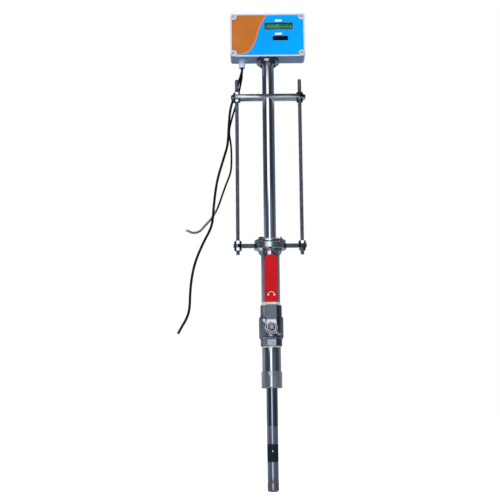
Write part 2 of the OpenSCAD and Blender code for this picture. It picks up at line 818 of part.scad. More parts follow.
module lid_screws() color([0.8, 0.8, 0.84]) difference() {
    union() {
        pillars(screw_head_r, box_front + screw_sink, box_front + screw_sink + screw_head_h);
        pillars(screw_r - 2 * fit, box_front + screw_sink, part_y + screw_len - edge);
    }
    plate(box_front, box_front + screw_sink + slot_deep) for (x = [-1, 1], z = [-1, 1])
        translate([x * (box_w / 2 - pillar_in), z * (box_h / 2 - pillar_in)])
            rotate([0, 0, x * z * slot_angle]) square([slot_len, slot_w], center = true);
}

module front_label() color([0.1, 0.55, 0.85])
    plate(box_front, box_front + label_t) difference() {
        label_shape(0);
        translate([window_x, window_z]) square([window_w + 2 * fit, window_h + 2 * fit], center = true);
        translate([keys_x, -keys_z])
            square([4 * key_pitch + 2 * hole, key_h + 4 * hole], center = true);
    }

module display_window() color([0.25, 0.2, 0.16])
    plate(box_front + label_t + window_sink, box_front + label_t + window_sink + window_t)
        translate([window_x, window_z]) square([window_w, window_h], center = true);

module lcd_module() color([0.3, 0.5, 0.25])
    plate(board_front - lcd_d, board_front) translate([window_x, window_z])
        square([lcd_w, lcd_h], center = true);

module circuit_board() color([0.1, 0.35, 0.2])
    plate(board_front, board_front + board_t) difference() {
        square([board_w, board_h], center = true);
        for (x = [-1, 1], z = [-1, 1])
            translate([x * (board_w / 2 - post_r), z * (board_h / 2 - post_r)]) circle(r = screw_r);
    }

module terminal_block() color([0.1, 0.4, 0.2]) difference() {
    plate(board_front - term_d, board_front) translate([-term_x, -term_z])
        square([term_w, term_h], center = true);
    plate(board_front - term_d - cut, board_front - term_d / 2)
        for (i = [0 : term_ways - 1])
            translate([-term_x + (i - (term_ways - 1) / 2) * term_w / term_ways, -term_z])
                circle(r = term_screw_r);
}

module key_switches() color([0.15, 0.15, 0.16])
    plate(lid_inner + key_back + key_travel + switch_gap, board_front)
        for (i = [0 : 3]) translate([keys_x + (i - 1.5) * key_pitch, -keys_z])
            square(switch_w, center = true);

module key(i) color([0.08, 0.08, 0.09]) translate([keys_x + (i - 1.5) * key_pitch, 0, -keys_z]) {
    plate(box_front - key_proud, lid_inner + key_back - key_skirt_t)
        round_rect(key_w, key_h, key_round);
    plate(lid_inner + key_back - key_skirt_t, lid_inner + key_back)
        square([key_w, key_skirt_h], center = true);
}

module key_1() key(0);

module key_2() key(1);

module key_3() key(2);

module key_4() key(3);

// cable entry
module at_gland(z) {
    translate([-gland_x, 0, z]) children();
}

module gland_body() color([0.76, 0.79, 0.87]) difference() {
    union() {
        at_gland(box_z) cylinder(r = gland_thread_r, h = gland_thread_h);
        at_gland(box_z - gland_hex_h) hex_piece(gland_hex_af, gland_hex_h);
        at_gland(box_z - gland_hex_h - gland_low_h) cylinder(r = gland_low_r, h = gland_low_h);
    }
    at_gland(box_z - gland_nut_h - gland_hex_h) cylinder(r = gland_bore_r, h = 2 * box_h);
}

module gland_locknut() color([0.76, 0.79, 0.87])
    at_gland(box_z + wall) hex_piece(gland_lock_af, gland_lock_h, gland_thread_r + fit);

module gland_nut() color([0.76, 0.79, 0.87]) {
    low_z = box_z - gland_hex_h - fit - gland_nut_h;
    in_r = gland_low_r + fit;
    top_h = gland_low_h + fit;
    r = gland_nut_r;
    at_gland(low_z) rotate_extrude() polygon([
        [gland_bore_r + fit, 0], [r - gland_nut_round, 0],
        [r - gland_nut_round * dome_in_share, gland_nut_round * dome_up_share],
        [r, gland_nut_round * 2], [r, gland_nut_h],
        [in_r, gland_nut_h], [in_r, gland_nut_h - top_h], [gland_bore_r + fit, gland_nut_h - top_h]]);
}

module gland_insert() color([0.1, 0.1, 0.1]) {
    low_z = box_z - gland_hex_h - fit - gland_nut_h;
    at_gland(low_z + edge) cylinder(r = gland_bore_r, h = gland_nut_h - gland_low_h - edge - fit);
}

// cables: each row is one point of the middle line, and gets one ring
gland_low_z = box_z - gland_hex_h - fit - gland_nut_h + edge;
power_end_z = 143.4;
power_path = [
    [-gland_x, -power_off, gland_low_z], [-gland_x, -power_off, gland_low_z - 10],
    [-gland_x - 3.4, 1, gland_low_z - 22], [-gland_x - 8.8, 8.8, gland_low_z - 36],
    [-gland_x - 13.4, 18.4, gland_low_z - 50], [-gland_x - 18.4, 24.3, gland_low_z - 64],
    [-93.8, 26.4, 775], [-98.6, 26.4, 760], [-102.4, 26.2, 743], [-105, 26, 720],
    [-107.2, 26, 690], [-108.6, 26, 665], [-111.5, 26, 643], [-117.5, 26, 622],
    [-125, 26, 597], [-132.5, 26, 572], [-139, 26, 545], [-143.4, 26, 518], [-146.4, 26, 492],
    [-148.8, 26, 468], [-150.4, 26, 448], [-153.6, 26, 430], [-160.5, 26, 412],
    [-170.8, 26, 392], [-180.8, 26, 371], [-189.8, 26, 350], [-197.5, 26, 328],
    [-203, 26, 306], [-206.8, 26, 284], [-209.3, 26, 262], [-210.7, 26, 240],
    [-211.7, 26, 218], [-214.3, 26, 199], [-221, 26, 181], [-230.5, 26, 164],
    [-242.1, 26, power_end_z]];
signal_path = [
    [-gland_x, signal_off, gland_low_z], [-gland_x, signal_off, gland_low_z - 10],
    [-gland_x - 0.4, 8.2, gland_low_z - 22], [-gland_x - 3.4, 16, gland_low_z - 36],
    [-gland_x - 6.7, 23.4, gland_low_z - 50], [-gland_x - 10, 29.6, gland_low_z - 62],
    [-83.2, 33.2, 778], [-86.2, 34.2, 763], [-90.6, 34, 749], [-95.8, 34, 732],
    [-101.2, 34, 712], [-104.8, 34, 694], [-105, 34, 678], [-102.6, 34, 661],
    [-100.8, 34, 643], [-100, 34, 622], [-100.2, 34, 601], [-102.6, 34, 576],
    [-111.8, 34, 549], [-118.4, 34, 532], [-124.8, 34, 514], [-131.2, 34, 495],
    [-137.6, 34, 477.7]];
core_paths = [
    [[-138.61, 33.43, 477.86], [-146.05, 33.6, 466.4], [-156.2, 33.8, 450.3],
    [-173.1, 34, 431.8], [-188.6, 34.2, 416.3], [-202.8, 34.2, 413.4], [-217.6, 34, 419.4]],
    [[-137.67, 35.15, 477.51], [-144.2, 34.9, 465.3], [-154.5, 34.6, 449],
    [-171.5, 34.4, 430.3], [-187.5, 34.2, 414.4], [-203, 34, 411.3], [-219.8, 34, 417.9]],
    [[-136.73, 33.43, 477.16], [-142.35, 33.6, 464.2], [-152.8, 33.7, 447.7],
    [-169.9, 33.8, 428.8], [-186.4, 33.8, 412.5], [-203.2, 33.6, 409.2], [-221, 33.4, 415.6]]];

function unit(v) = v / norm(v);
function along(p, i) = unit(p[min(i + 1, len(p) - 1)] - p[max(i - 1, 0)]);
function across(t) = unit(cross(t, [0, 1, 0]));
function ring_points(p, i, r, n) =
    let (t = along(p, i), s = across(t), u = cross(s, t))
    [for (k = [0 : n - 1]) p[i] + r * (cos(360 * k / n) * s + sin(360 * k / n) * u)];
function skin(rings, n) = concat(
    [[for (k = [0 : n - 1]) k]],
    [for (i = [0 : rings - 2], k = [0 : n - 1])
        let (a = i * n + k, b = i * n + (k + 1) % n) [a, a + n, b + n, b]],
    [[for (k = [n - 1 : -1 : 0]) (rings - 1) * n + k]]);

module swept(p, r, n) {
    polyhedron(points = [for (i = [0 : len(p) - 1]) each ring_points(p, i, r, n)],
        faces = skin(len(p), n));
}

module power_cable() color([0.07, 0.07, 0.08]) swept(power_path, power_d / 2, 10);

module signal_cable() color([0.07, 0.07, 0.08]) swept(signal_path, signal_d / 2, 10);

module signal_cores() color([0.6, 0.2, 0.2])
    for (p = core_paths) swept(p, core_d / 2, 8);

process_coupling();
lower_nipple();
valve_end_cap();
valve_body();
valve_ball();
seat_rings();
body_seal();
stem_packing();
packing_nut();
thread_tape();
stuffing_box();
packing_rings();
gland_follower();
follower_bolts();
lower_crossbar();
lower_lock_nuts();
guard_rod_left();
guard_rod_right();
valve_stem();
lever_arm();
lever_sleeve();
stem_washer();
stem_nut();
upper_crossbar();
upper_lock_nuts();
probe_tube();
stem_sleeve();
sensor_head_upper();
insulator_sleeve();
electrodes();
sensor_head_lower();
end_cap();
coil_core();
field_coil();
sensor_leads();
head_flange();
flange_spacer();
flange_bolts();
box_base();
box_lid();
lid_gasket();
lid_screws();
front_label();
display_window();
lcd_module();
circuit_board();
terminal_block();
key_switches();
key_1();
key_2();
key_3();
key_4();
gland_body();
gland_locknut();
gland_nut();
gland_insert();
power_cable();
signal_cable();
signal_cores();
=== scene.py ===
"""Looks of an insertion flow meter, dressed round its fixed frame.

Finishes, threads, fasteners, label, display, lever and cables, with a camera and light.
"""

import json
import math

import bmesh
import bpy
from bpy.props import (BoolProperty, FloatProperty, FloatVectorProperty, IntProperty,
                       PointerProperty)
from mathutils import Matrix, Vector, noise

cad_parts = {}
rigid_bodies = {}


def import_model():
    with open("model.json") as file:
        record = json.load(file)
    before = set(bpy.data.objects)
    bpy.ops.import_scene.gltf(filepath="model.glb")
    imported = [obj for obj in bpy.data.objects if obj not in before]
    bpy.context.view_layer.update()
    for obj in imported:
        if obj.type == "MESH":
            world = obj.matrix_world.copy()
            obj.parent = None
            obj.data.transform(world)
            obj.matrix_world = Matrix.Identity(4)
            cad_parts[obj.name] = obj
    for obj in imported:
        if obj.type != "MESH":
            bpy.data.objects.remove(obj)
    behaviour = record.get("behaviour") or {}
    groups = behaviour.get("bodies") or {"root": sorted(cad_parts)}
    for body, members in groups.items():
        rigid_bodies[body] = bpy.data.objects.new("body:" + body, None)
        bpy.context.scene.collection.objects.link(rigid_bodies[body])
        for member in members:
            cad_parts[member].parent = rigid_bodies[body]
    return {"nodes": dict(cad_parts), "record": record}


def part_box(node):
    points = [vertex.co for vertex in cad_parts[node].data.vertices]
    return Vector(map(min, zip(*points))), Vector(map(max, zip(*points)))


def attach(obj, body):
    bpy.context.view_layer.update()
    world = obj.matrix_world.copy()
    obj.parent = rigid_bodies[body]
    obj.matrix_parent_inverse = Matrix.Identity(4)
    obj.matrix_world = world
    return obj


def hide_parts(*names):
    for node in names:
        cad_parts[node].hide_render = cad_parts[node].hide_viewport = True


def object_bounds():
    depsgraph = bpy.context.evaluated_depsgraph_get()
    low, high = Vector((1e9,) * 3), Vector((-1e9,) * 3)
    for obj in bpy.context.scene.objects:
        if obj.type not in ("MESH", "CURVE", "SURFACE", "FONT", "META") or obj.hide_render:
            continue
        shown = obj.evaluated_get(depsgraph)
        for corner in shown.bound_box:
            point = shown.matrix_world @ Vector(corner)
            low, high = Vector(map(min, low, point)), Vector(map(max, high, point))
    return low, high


bl_info = {
    "name": "Insertion flow meter",
    "version": (1, 0, 0),
    "blender": (4, 5, 0),
    "location": "View3D > Sidebar > Flow meter",
    "description": "Dresses the frame of an insertion flow meter and lights it",
    "category": "Object",
}

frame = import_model()
CAD_LOW, CAD_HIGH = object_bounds()
NODES = frame["nodes"]
BODIES = frame["record"]["behaviour"]["bodies"]
MM = 0.001


# ---------------------------------------------------------------- places read from the frame


def low(node):
    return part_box(node)[0]


def high(node):
    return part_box(node)[1]


def corners(node):
    """Lowest and highest corner of a frame node."""
    return Vector(low(node)), Vector(high(node))


def middle(node):
    lo, hi = corners(node)
    return (lo + hi) / 2


def ends(node):
    """Heights of a frame node's foot and top."""
    return low(node)[2], high(node)[2]


def half_wide(node):
    return (high(node)[0] - low(node)[0]) / 2


def body_of(node):
    """Name of the moving body that a frame node belongs to."""
    for body, members in BODIES.items():
        if node in members:
            return body
    raise ValueError("no body holds " + node)


ROD_X = (high("guard_rod_right")[0] + low("guard_rod_right")[0]) / 2
ROD_R = half_wide("guard_rod_right")
ROD_LOW, ROD_HIGH = ends("guard_rod_right")
STEM_R, PROBE_R = half_wide("stem_sleeve"), half_wide("probe_tube")
PROBE_BORE = 11.5 * MM
PIPE_R = high("lower_nipple")[0]
LABEL_LOW, LABEL_HIGH = corners("front_label")
FACE_Y = low("box_lid")[1]
KEY_FACE = (8.5 * MM, 9.1 * MM)
SEAT_IN = 4 * MM  # from the lid screws' outer corners to their axes
BALL_Z = middle("valve_ball")[2]
NUT_TURN = 0.35  # radians by which the lever's nut stands off its first flat
BAR_LOW, BAR_HIGH = ends("upper_crossbar")
VALVE_LOW, VALVE_HIGH = low("valve_end_cap")[2], high("valve_body")[2]
STEP = 5 * MM  # height of the collars at the turned ring and at the gland follower
ARM_LOW = low("lower_crossbar")[2] + 1 * MM
RING_LOW = low("lower_crossbar")[2] - STEP
FOLLOWER_HIGH = high("gland_follower")[2] - STEP
BOLT_CIRCLE = 33 * MM


# ---------------------------------------------------------------- node materials


def dimmed(colour, share):
    return tuple(c * share for c in colour)


class Value:
    """A number in a node tree, on which sums make maths nodes."""

    def __init__(self, graph, socket):
        self.graph, self.socket = graph, socket

    def __add__(self, other):
        return self.graph.maths("ADD", self, other)

    def __sub__(self, other):
        return self.graph.maths("SUBTRACT", self, other)

    def __rsub__(self, other):
        return self.graph.maths("SUBTRACT", other, self)

    def __mul__(self, other):
        return self.graph.maths("MULTIPLY", self, other)

    def __truediv__(self, other):
        return self.graph.maths("DIVIDE", self, other)

    def __pow__(self, other):
        return self.graph.maths("POWER", self, other)

    def __abs__(self):
        return self.graph.maths("ABSOLUTE", self)


class Graph:
    """Short calls for the nodes of a tree."""

    def __init__(self, tree):
        self.tree = tree

    def feed(self, socket, value):
        """Links a socket or sets its value; colours get their alpha here."""
        if isinstance(value, Value):
            value = value.socket
        if isinstance(value, bpy.types.NodeSocket):
            self.tree.links.new(value, socket)
        elif socket.type == "RGBA":
            socket.default_value = (*value[:3], 1.0)
        else:
            socket.default_value = value

    def node(self, kind, inputs=None, **settings):
        """Adds a node, a shader node where only the end of its type is given."""
        made = self.tree.nodes.new(kind if "Node" in kind else "ShaderNode" + kind)
        for key, value in settings.items():
            setattr(made, key, value)
        for key, value in (inputs or {}).items():
            self.feed(made.inputs[key], value)
        return made

    def maths(self, operation, a, b=0.0, clamp=False):
        made = self.node("Math", {0: a, 1: b}, operation=operation, use_clamp=clamp)
        return Value(self, made.outputs[0])

    def split(self, vector):
        made = self.node("SeparateXYZ", {"Vector": vector})
        return tuple(Value(self, output) for output in made.outputs)

    def between(self, value, low_in, high_in, low_out=0.0, high_out=1.0, smooth=False):
        """Maps one range to another and stays inside it."""
        made = self.node("MapRange", {"Value": value, "From Min": low_in, "From Max": high_in,
                                      "To Min": low_out, "To Max": high_out},
                         interpolation_type="SMOOTHSTEP" if smooth else "LINEAR")
        return Value(self, made.outputs["Result"])

    def swing(self, value, first, last):
        """Goes from one value to another over the usual reach of a noise."""
        return self.between(value, 0.3, 0.7, first, last)

    def mix(self, share, first, second, blend="MIX"):
        """Mixes two colours, each a socket or a tuple."""
        return self.node("Mix", {0: share, 6: first, 7: second}, data_type="RGBA",
                         blend_type=blend).outputs[2]

    def ramp(self, value, stops):
        """A soft curve through stops of position, level and share of blue. The first two stops
        stand for the marks that a new ramp has."""
        made = self.node("ValToRGB", {"Fac": value})
        made.color_ramp.interpolation = "EASE"
        marks = made.color_ramp.elements
        for index, (spot, level, blue) in enumerate(stops):
            mark = marks[index] if index < 2 else marks.new(spot)
            mark.position = spot
            mark.color = (level * (1 - blue), level, level * (1 + 1.2 * blue), 1.0)
        return made.outputs["Color"]

    def levels(self, value, first, last, stops, blue=0.0):
        """The same curve from one length to another, all in millimetres, in one share of blue."""
        return self.ramp(self.between(value, first * MM, last * MM),
                         [((spot - first) / (last - first), level, blue) for spot, level in stops])


class Shader(Graph):
    """A material under construction."""

    def __init__(self, name):
        self.material = bpy.data.materials.new(name)
        self.material.use_nodes = True
        super().__init__(self.material.node_tree)
        self.out = self.tree.nodes["Material Output"]
        self.main = self.tree.nodes["Principled BSDF"]

    def place(self, scale=(1, 1, 1)):
        """Object coordinates in metres, scaled."""
        coord = self.node("TexCoord").outputs["Object"]
        return self.node("Mapping", {"Vector": coord, "Scale": scale}).outputs["Vector"]

    def noise(self, scale, detail=4.0, rough=0.55, grain=(1, 1, 1)):
        made = self.node("TexNoise", {"Vector": self.place(grain), "Scale": scale,
                                      "Detail": detail, "Roughness": rough})
        return Value(self, made.outputs["Fac"])

    def axes(self):
        return self.split(self.place())

    def grey(self, value):
        return self.node("CombineColor", {"Red": value, "Green": value, "Blue": value}).outputs[0]

    def times(self, tone, other):
        return self.mix(1.0, tone, other, "MULTIPLY")

    def paint_corner_shade(self, tone, reach):
        """Paints shade into a colour in corners and under overhangs, within a reach in metres."""
        made = self.node("AmbientOcclusion", {"Distance": reach})
        return self.times(tone, self.grey(
            self.between(made.outputs["AO"], 0.3, 0.85, 0.2, 1.0, smooth=True)))

    def off_axis(self, centre):
        """Distances to the right of a level axis that points to the front, and above it."""
        x, _, z = self.axes()
        return x - centre[0], z - centre[1]

    def from_axis(self, centre):
        """Distance from such an axis, in metres."""
        x, z = self.off_axis(centre)
        return self.maths("SQRT", x ** 2.0 + z ** 2.0)

    def from_flats(self, centre, turn):
        """Distance from such an axis in hexagons, whose first flat faces the angle turn."""
        x, z = self.off_axis(centre)
        flats = None
        for way in (turn + step * math.pi / 3 for step in range(3)):
            side = abs(x * math.cos(way) + z * math.sin(way))
            flats = self.maths("MAXIMUM", flats, side) if flats else side
        return flats

    def bump(self, height, depth, strength=1.0, **below):
        return self.node("Bump", {"Height": height, "Distance": depth, "Strength": strength,
                                  **below}).outputs["Normal"]

    def put(self, **sockets):
        """Feeds the main shader; underscores stand for the spaces in its sockets' names."""
        for key, value in sockets.items():
            self.feed(self.main.inputs[key.replace("_", " ")], value)
        return self.material


def grained_metal(name, colour, rough, grain=(1, 1, 1), grain_scale=400.0, spread=0.12,
                  depth=0.00002, dirt=0.25, dirt_scale=30.0, metallic=1.0, wave=0.0,
                  reach=0.0, level=None):
    """Bare metal with a directed grain, cloudy stains, a roughness that follows both, a wavy
    surface where it was ground by hand, painted shade in its corners, and a level of painted
    light and shade that scales it."""
    s = Shader(name)
    fine = s.noise(grain_scale, 5.0, 0.6, grain)
    cloud = s.noise(dirt_scale, 5.0, 0.6)
    tone = s.mix(s.between(cloud, 0.38, 0.66, smooth=True), dimmed(colour, 1 - dirt), colour)
    tone = s.mix(s.swing(fine, 0.0, 0.35), tone, dimmed(colour, 0.78))
    roughness = s.maths("ADD", s.swing(fine, rough - spread / 2, rough + spread / 2),
                        s.swing(cloud, rough * 0.4, rough * -0.2), clamp=True)
    normal = s.bump(fine, depth)
    if wave > 0:
        normal = s.bump(s.noise(36.0, 1.0, 0.4, (0.6, 1, 1.6)), wave, Normal=normal)
    # the level paints light and shade into the tone
    if level:
        tone = s.times(tone, level(s))
    # painted shade in corners and under overhangs
    if reach > 0:
        tone = s.paint_corner_shade(tone, reach)
    return s.put(Base_Color=tone, Metallic=metallic, Roughness=roughness, Normal=normal)


def cast_metal(name, colour, rough):
    """Blasted cast steel: sandy bumps, rubbed high spots, painted shade in its hollows and a
    painted sheen round the body.
    """
    s = Shader(name)
    sand = s.noise(900.0, 3.0, 0.6)
    lump = s.noise(140.0, 4.0, 0.55)
    cloud = s.noise(24.0, 4.0, 0.6)
    tone = s.mix(s.between(cloud, 0.35, 0.65, smooth=True), dimmed(colour, 0.66), colour)
    tone = s.mix(s.between(sand, 0.5, 0.72, 0.0, 0.6), tone, dimmed(colour, 1.4))
    # painted sheen across the body
    tone = s.times(tone, body_painted_sheen(s))
    # painted shade in the hollows
    return s.put(Base_Color=s.paint_corner_shade(tone, 9 * MM), Metallic=0.9,
                 Roughness=s.swing(lump, rough + 0.08, rough - 0.08),
                 Normal=s.bump(sand * 0.4 + lump, 0.00008, 0.7))


def polished_metal(name, colour, rough=0.05):
    """Turned and polished steel: faint rings round the axis and wiped smudges."""
    s = Shader(name)
    rings = s.noise(60.0, 5.0, 0.7, (0.6, 0.6, 60))
    smudge = s.noise(18.0, 5.0, 0.65, (1, 1, 0.35))
    tone = s.mix(s.between(smudge, 0.35, 0.7, 0.0, 0.4), colour, dimmed(colour, 0.82))
    roughness = s.maths("ADD", s.between(smudge, 0.4, 0.72, rough, rough + 0.07),
                        s.swing(rings, -0.01, 0.02), clamp=True)
    return s.put(Base_Color=tone, Metallic=1.0, Roughness=roughness,
                 Normal=s.bump(rings, 0.0000012))


def two_tone(name, colour, second, cloud, share, skin, rough, depth, **sockets):
    """A surface that one noise clouds with a second tone and another noise roughens."""
    s = Shader(name)
    fine = s.noise(*skin)
    return s.put(Base_Color=s.mix(s.between(s.noise(*cloud), *share), colour, second),
                 Roughness=s.swing(fine, *rough), Normal=s.bump(fine, depth), **sockets)


def moulded_plastic(name, colour, rough=0.45, sheen=0.0, pit=1500.0, depth=0.00003):
    """Moulded plastic or paint with a fine pitted skin and slight clouding."""
    return two_tone(name, colour, dimmed(colour, 0.92), (20.0, 4.0, 0.55),
                    (0.35, 0.68, 0.0, 1.0, True), (pit, 3.0, 0.6), (rough - 0.06, rough + 0.08),
                    depth, Coat_Weight=sheen, Coat_Roughness=0.2)


def soft_rubber(name, colour, rough=0.6, gloss=0.5):
    """Dull rubber with dust in its pores."""
    return two_tone(name, colour, tuple(c + 0.05 for c in colour), (45.0, 5.0, 0.6),
                    (0.52, 0.78, 0.0, 0.35, True), (700.0, 5.0, 0.65), (rough, rough + 0.15),
                    0.00006, Specular_IOR_Level=gloss)


def sleeve_vinyl(name, red):
    """Dip-moulded vinyl: saturated, softly glossy, with faint flow marks."""
    return two_tone(name, dimmed(red, 0.8), red, (30.0, 3.0, 0.5, (1, 1, 0.3)), (0.35, 0.68),
                    (1100.0, 3.0, 0.6), (0.34, 0.46), 0.00003, Specular_IOR_Level=0.14)


def cable_skin(name, colour, dust):
    """Cable jacket with slight extrusion waves and dust."""
    return two_tone(name, colour, dust, (50.0, 5.0, 0.6), (0.5, 0.75, 0.0, 0.4),
                    (260.0, 3.0, 0.6), (0.3, 0.42), 0.00003, Specular_IOR_Level=0.2)


def core_skin(name, colour):
    """Thin coloured insulation."""
    return two_tone(name, colour, dimmed(colour, 0.7), (500.0, 3.0, 0.6), (0.35, 0.7),
                    (500.0, 3.0, 0.6), (0.5, 0.5), 0.00002, Specular_IOR_Level=0.1)


# ---------------------------------------------------------------- meshes


def placed(name, data):
    """A new object in the scene."""
    piece = bpy.data.objects.new(name, data)
    bpy.context.scene.collection.objects.link(piece)
    return piece


def shade(mesh, sharp):
    """Shades a mesh smooth but for its edges above an angle in degrees."""
    mesh.shade_smooth()
    mesh.set_sharp_from_angle(angle=math.radians(sharp))
    return mesh


def mesh_of(name, bm):
    """A new mesh from a bmesh that is done with."""
    mesh = bpy.data.meshes.new(name)
    bm.to_mesh(mesh)
    bm.free()
    return mesh


def cleaned(mesh, reach, *steps):
    """Merges a mesh's doubles and runs further steps on it."""
    bm = bmesh.new()
    bm.from_mesh(mesh)
    bmesh.ops.remove_doubles(bm, verts=bm.verts, dist=reach)
    for step in steps:
        step(bm)
    bm.to_mesh(mesh)
    bm.free()


def mesh_object(name, verts, faces, sharp=40.0):
    """A new object whose faces point outward."""
    mesh = bpy.data.meshes.new(name)
    mesh.from_pydata([tuple(v) for v in verts], [], faces)
    mesh.validate()
    cleaned(mesh, 1e-7, lambda bm: bmesh.ops.recalc_face_normals(bm, faces=bm.faces))
    return placed(name, shade(mesh, sharp))


def bake_modifiers(piece, sharp=None):
    """Replaces the object's mesh by its evaluated one and drops the modifiers. Without an angle
    the normals stay as the modifiers left them."""
    graph = bpy.context.evaluated_depsgraph_get()
    graph.update()
    done = bpy.data.meshes.new_from_object(piece.evaluated_get(graph), depsgraph=graph)
    piece.modifiers.clear()
    piece.data = done if sharp is None else shade(done, sharp)
    return piece


def dress(piece, tone, node, instead=False):
    """Gives a piece its finish and body, and hides the node when the piece stands in for it."""
    piece.data.materials.clear()
    piece.data.materials.append(finish(tone))
    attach(piece, body_of(node))
    if instead:
        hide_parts(node)
    return piece


def paint(**finishes):
    """Gives frame nodes a finish each and leaves their meshes alone."""
    for node, tone in finishes.items():
        for spot in NODES[node].material_slots:
            spot.material = finish(tone)


def softened(node, tone, width=0.4, segments=2):
    """A copy of a frame node with merged faces and rounded edges, in millimetres."""
    mesh = NODES[node].data.copy()
    mesh.materials.clear()
    cleaned(mesh, 1e-6, lambda bm: bmesh.ops.dissolve_limit(
        bm, angle_limit=math.radians(0.6), verts=bm.verts, edges=bm.edges))
    mesh.shade_smooth()
    piece = placed(node + "_finished", mesh)
    bevel = piece.modifiers.new("edges", "BEVEL")
    bevel.width = width * MM
    bevel.segments = segments
    bevel.limit_method = "ANGLE"
    bevel.angle_limit = math.radians(35)
    bevel.use_clamp_overlap = True
    weigh = piece.modifiers.new("normals", "WEIGHTED_NORMAL")
    weigh.mode, weigh.weight = "FACE_AREA", 90
    return dress(bake_modifiers(piece), tone, node, instead=True)


def circle(count):
    """Angles of points all round."""
    return [2 * math.pi * i / count for i in range(count)]


def loft_faces(rows, count, capped=True):
    """Faces of a skin over rows of points that each run round it, with flat ends."""
    faces = [(k * count + i, k * count + (i + 1) % count,
              (k + 1) * count + (i + 1) % count, (k + 1) * count + i)
             for k in range(rows - 1) for i in range(count)]
    if capped:
        faces += [tuple(range(count - 1, -1, -1)), tuple(range((rows - 1) * count, rows * count))]
    return faces


def lathe(name, profile, steps=96, centre=(0, 0)):
    """Turns points of radius and height about an upright axis. Radius 0 closes the end."""
    verts, rings, faces = [], [], []
    for radius, z in profile:
        angles = circle(steps) if radius > 1e-9 else [0.0]
        rings.append(range(len(verts), len(verts) + len(angles)))
        verts += [(centre[0] + radius * math.cos(a), centre[1] + radius * math.sin(a), z)
                  for a in angles]
    for one, two in zip(rings, rings[1:]):
        for i in range(steps):
            j = (i + 1) % steps
            corner = dict.fromkeys((one[i % len(one)], one[j % len(one)],
                                    two[j % len(two)], two[i % len(two)]))
            if len(corner) > 2:
                faces.append(tuple(corner))
    return mesh_object(name, verts, faces, 35.0)


def turned(node, tone, profile, steps=96, name=None):
    """A turned piece that stands in for a frame node."""
    return dress(lathe(name or node + "_turned", profile, steps), tone, node, instead=True)


def arc(cx, cz, radius, start, stop, count=5):
    """Points on a round corner, for a profile; angles in degrees from +radius."""
    angles = [math.radians(start + (stop - start) * i / count) for i in range(count + 1)]
    return [(cx + radius * math.cos(a), cz + radius * math.sin(a)) for a in angles]


def shares(radius, points):
    """A profile from shares of a radius and heights in millimetres."""
    return [(radius * share, z * MM) for share, z in points]


def closed_tube(r_out, r_in, z0, z1, round_r):
    """Profile of a tube with rounded outer edges, closed through its bore."""
    return ([(r_in, z0)] + arc(r_out - round_r, z0 + round_r, round_r, -90, 0)
            + arc(r_out - round_r, z1 - round_r, round_r, 0, 90) + [(r_in, z1), (r_in, z0)])


def hex_radius(af, angle):
    """Distance from the centre to a hexagon's side at an angle."""
    turn = math.radians(60)
    return af / 2 / math.cos((angle % turn) - turn / 2)


def hex_mesh(name, af, height, bore_r=0.0, chamfer_low=True):
    """A nut or a bolt head: six flats, with cone chamfers that leave curved corners."""
    steps, chamfer_r, face_r, lip = 72, af * 0.49, af * 0.485, af * 0.02
    slope = math.tan(math.radians(30))
    angles = circle(steps)

    def ring(radius, z):
        return [(radius * math.cos(a), radius * math.sin(a), z) for a in angles]

    def edge(z, sign):
        return [(r * math.cos(a), r * math.sin(a), z + sign * slope * max(0.0, r - chamfer_r))
                for r, a in ((hex_radius(af, a), a) for a in angles)]

    rings = [ring(face_r, 0.0), edge(0.0, 1 if chamfer_low else 0), edge(height, -1),
             ring(face_r, height)]
    if bore_r > 0:
        rings = ([ring(bore_r, lip), ring(bore_r + lip, 0.0)] + rings
                 + [ring(bore_r + lip, height), ring(bore_r, height - lip), ring(bore_r, lip)])
    verts = [v for r in rings for v in r]
    faces = loft_faces(len(rings), steps, capped=False)
    if bore_r <= 0:
        last = len(verts) - steps
        verts += [(0, 0, 0), (0, 0, height)]
        for i in range(steps):
            j = (i + 1) % steps
            faces += [(len(verts) - 2, j, i), (last + i, last + j, len(verts) - 1)]
    return mesh_object(name, verts, faces, 25.0)


# ---------------------------------------------------------------- geometry node trees


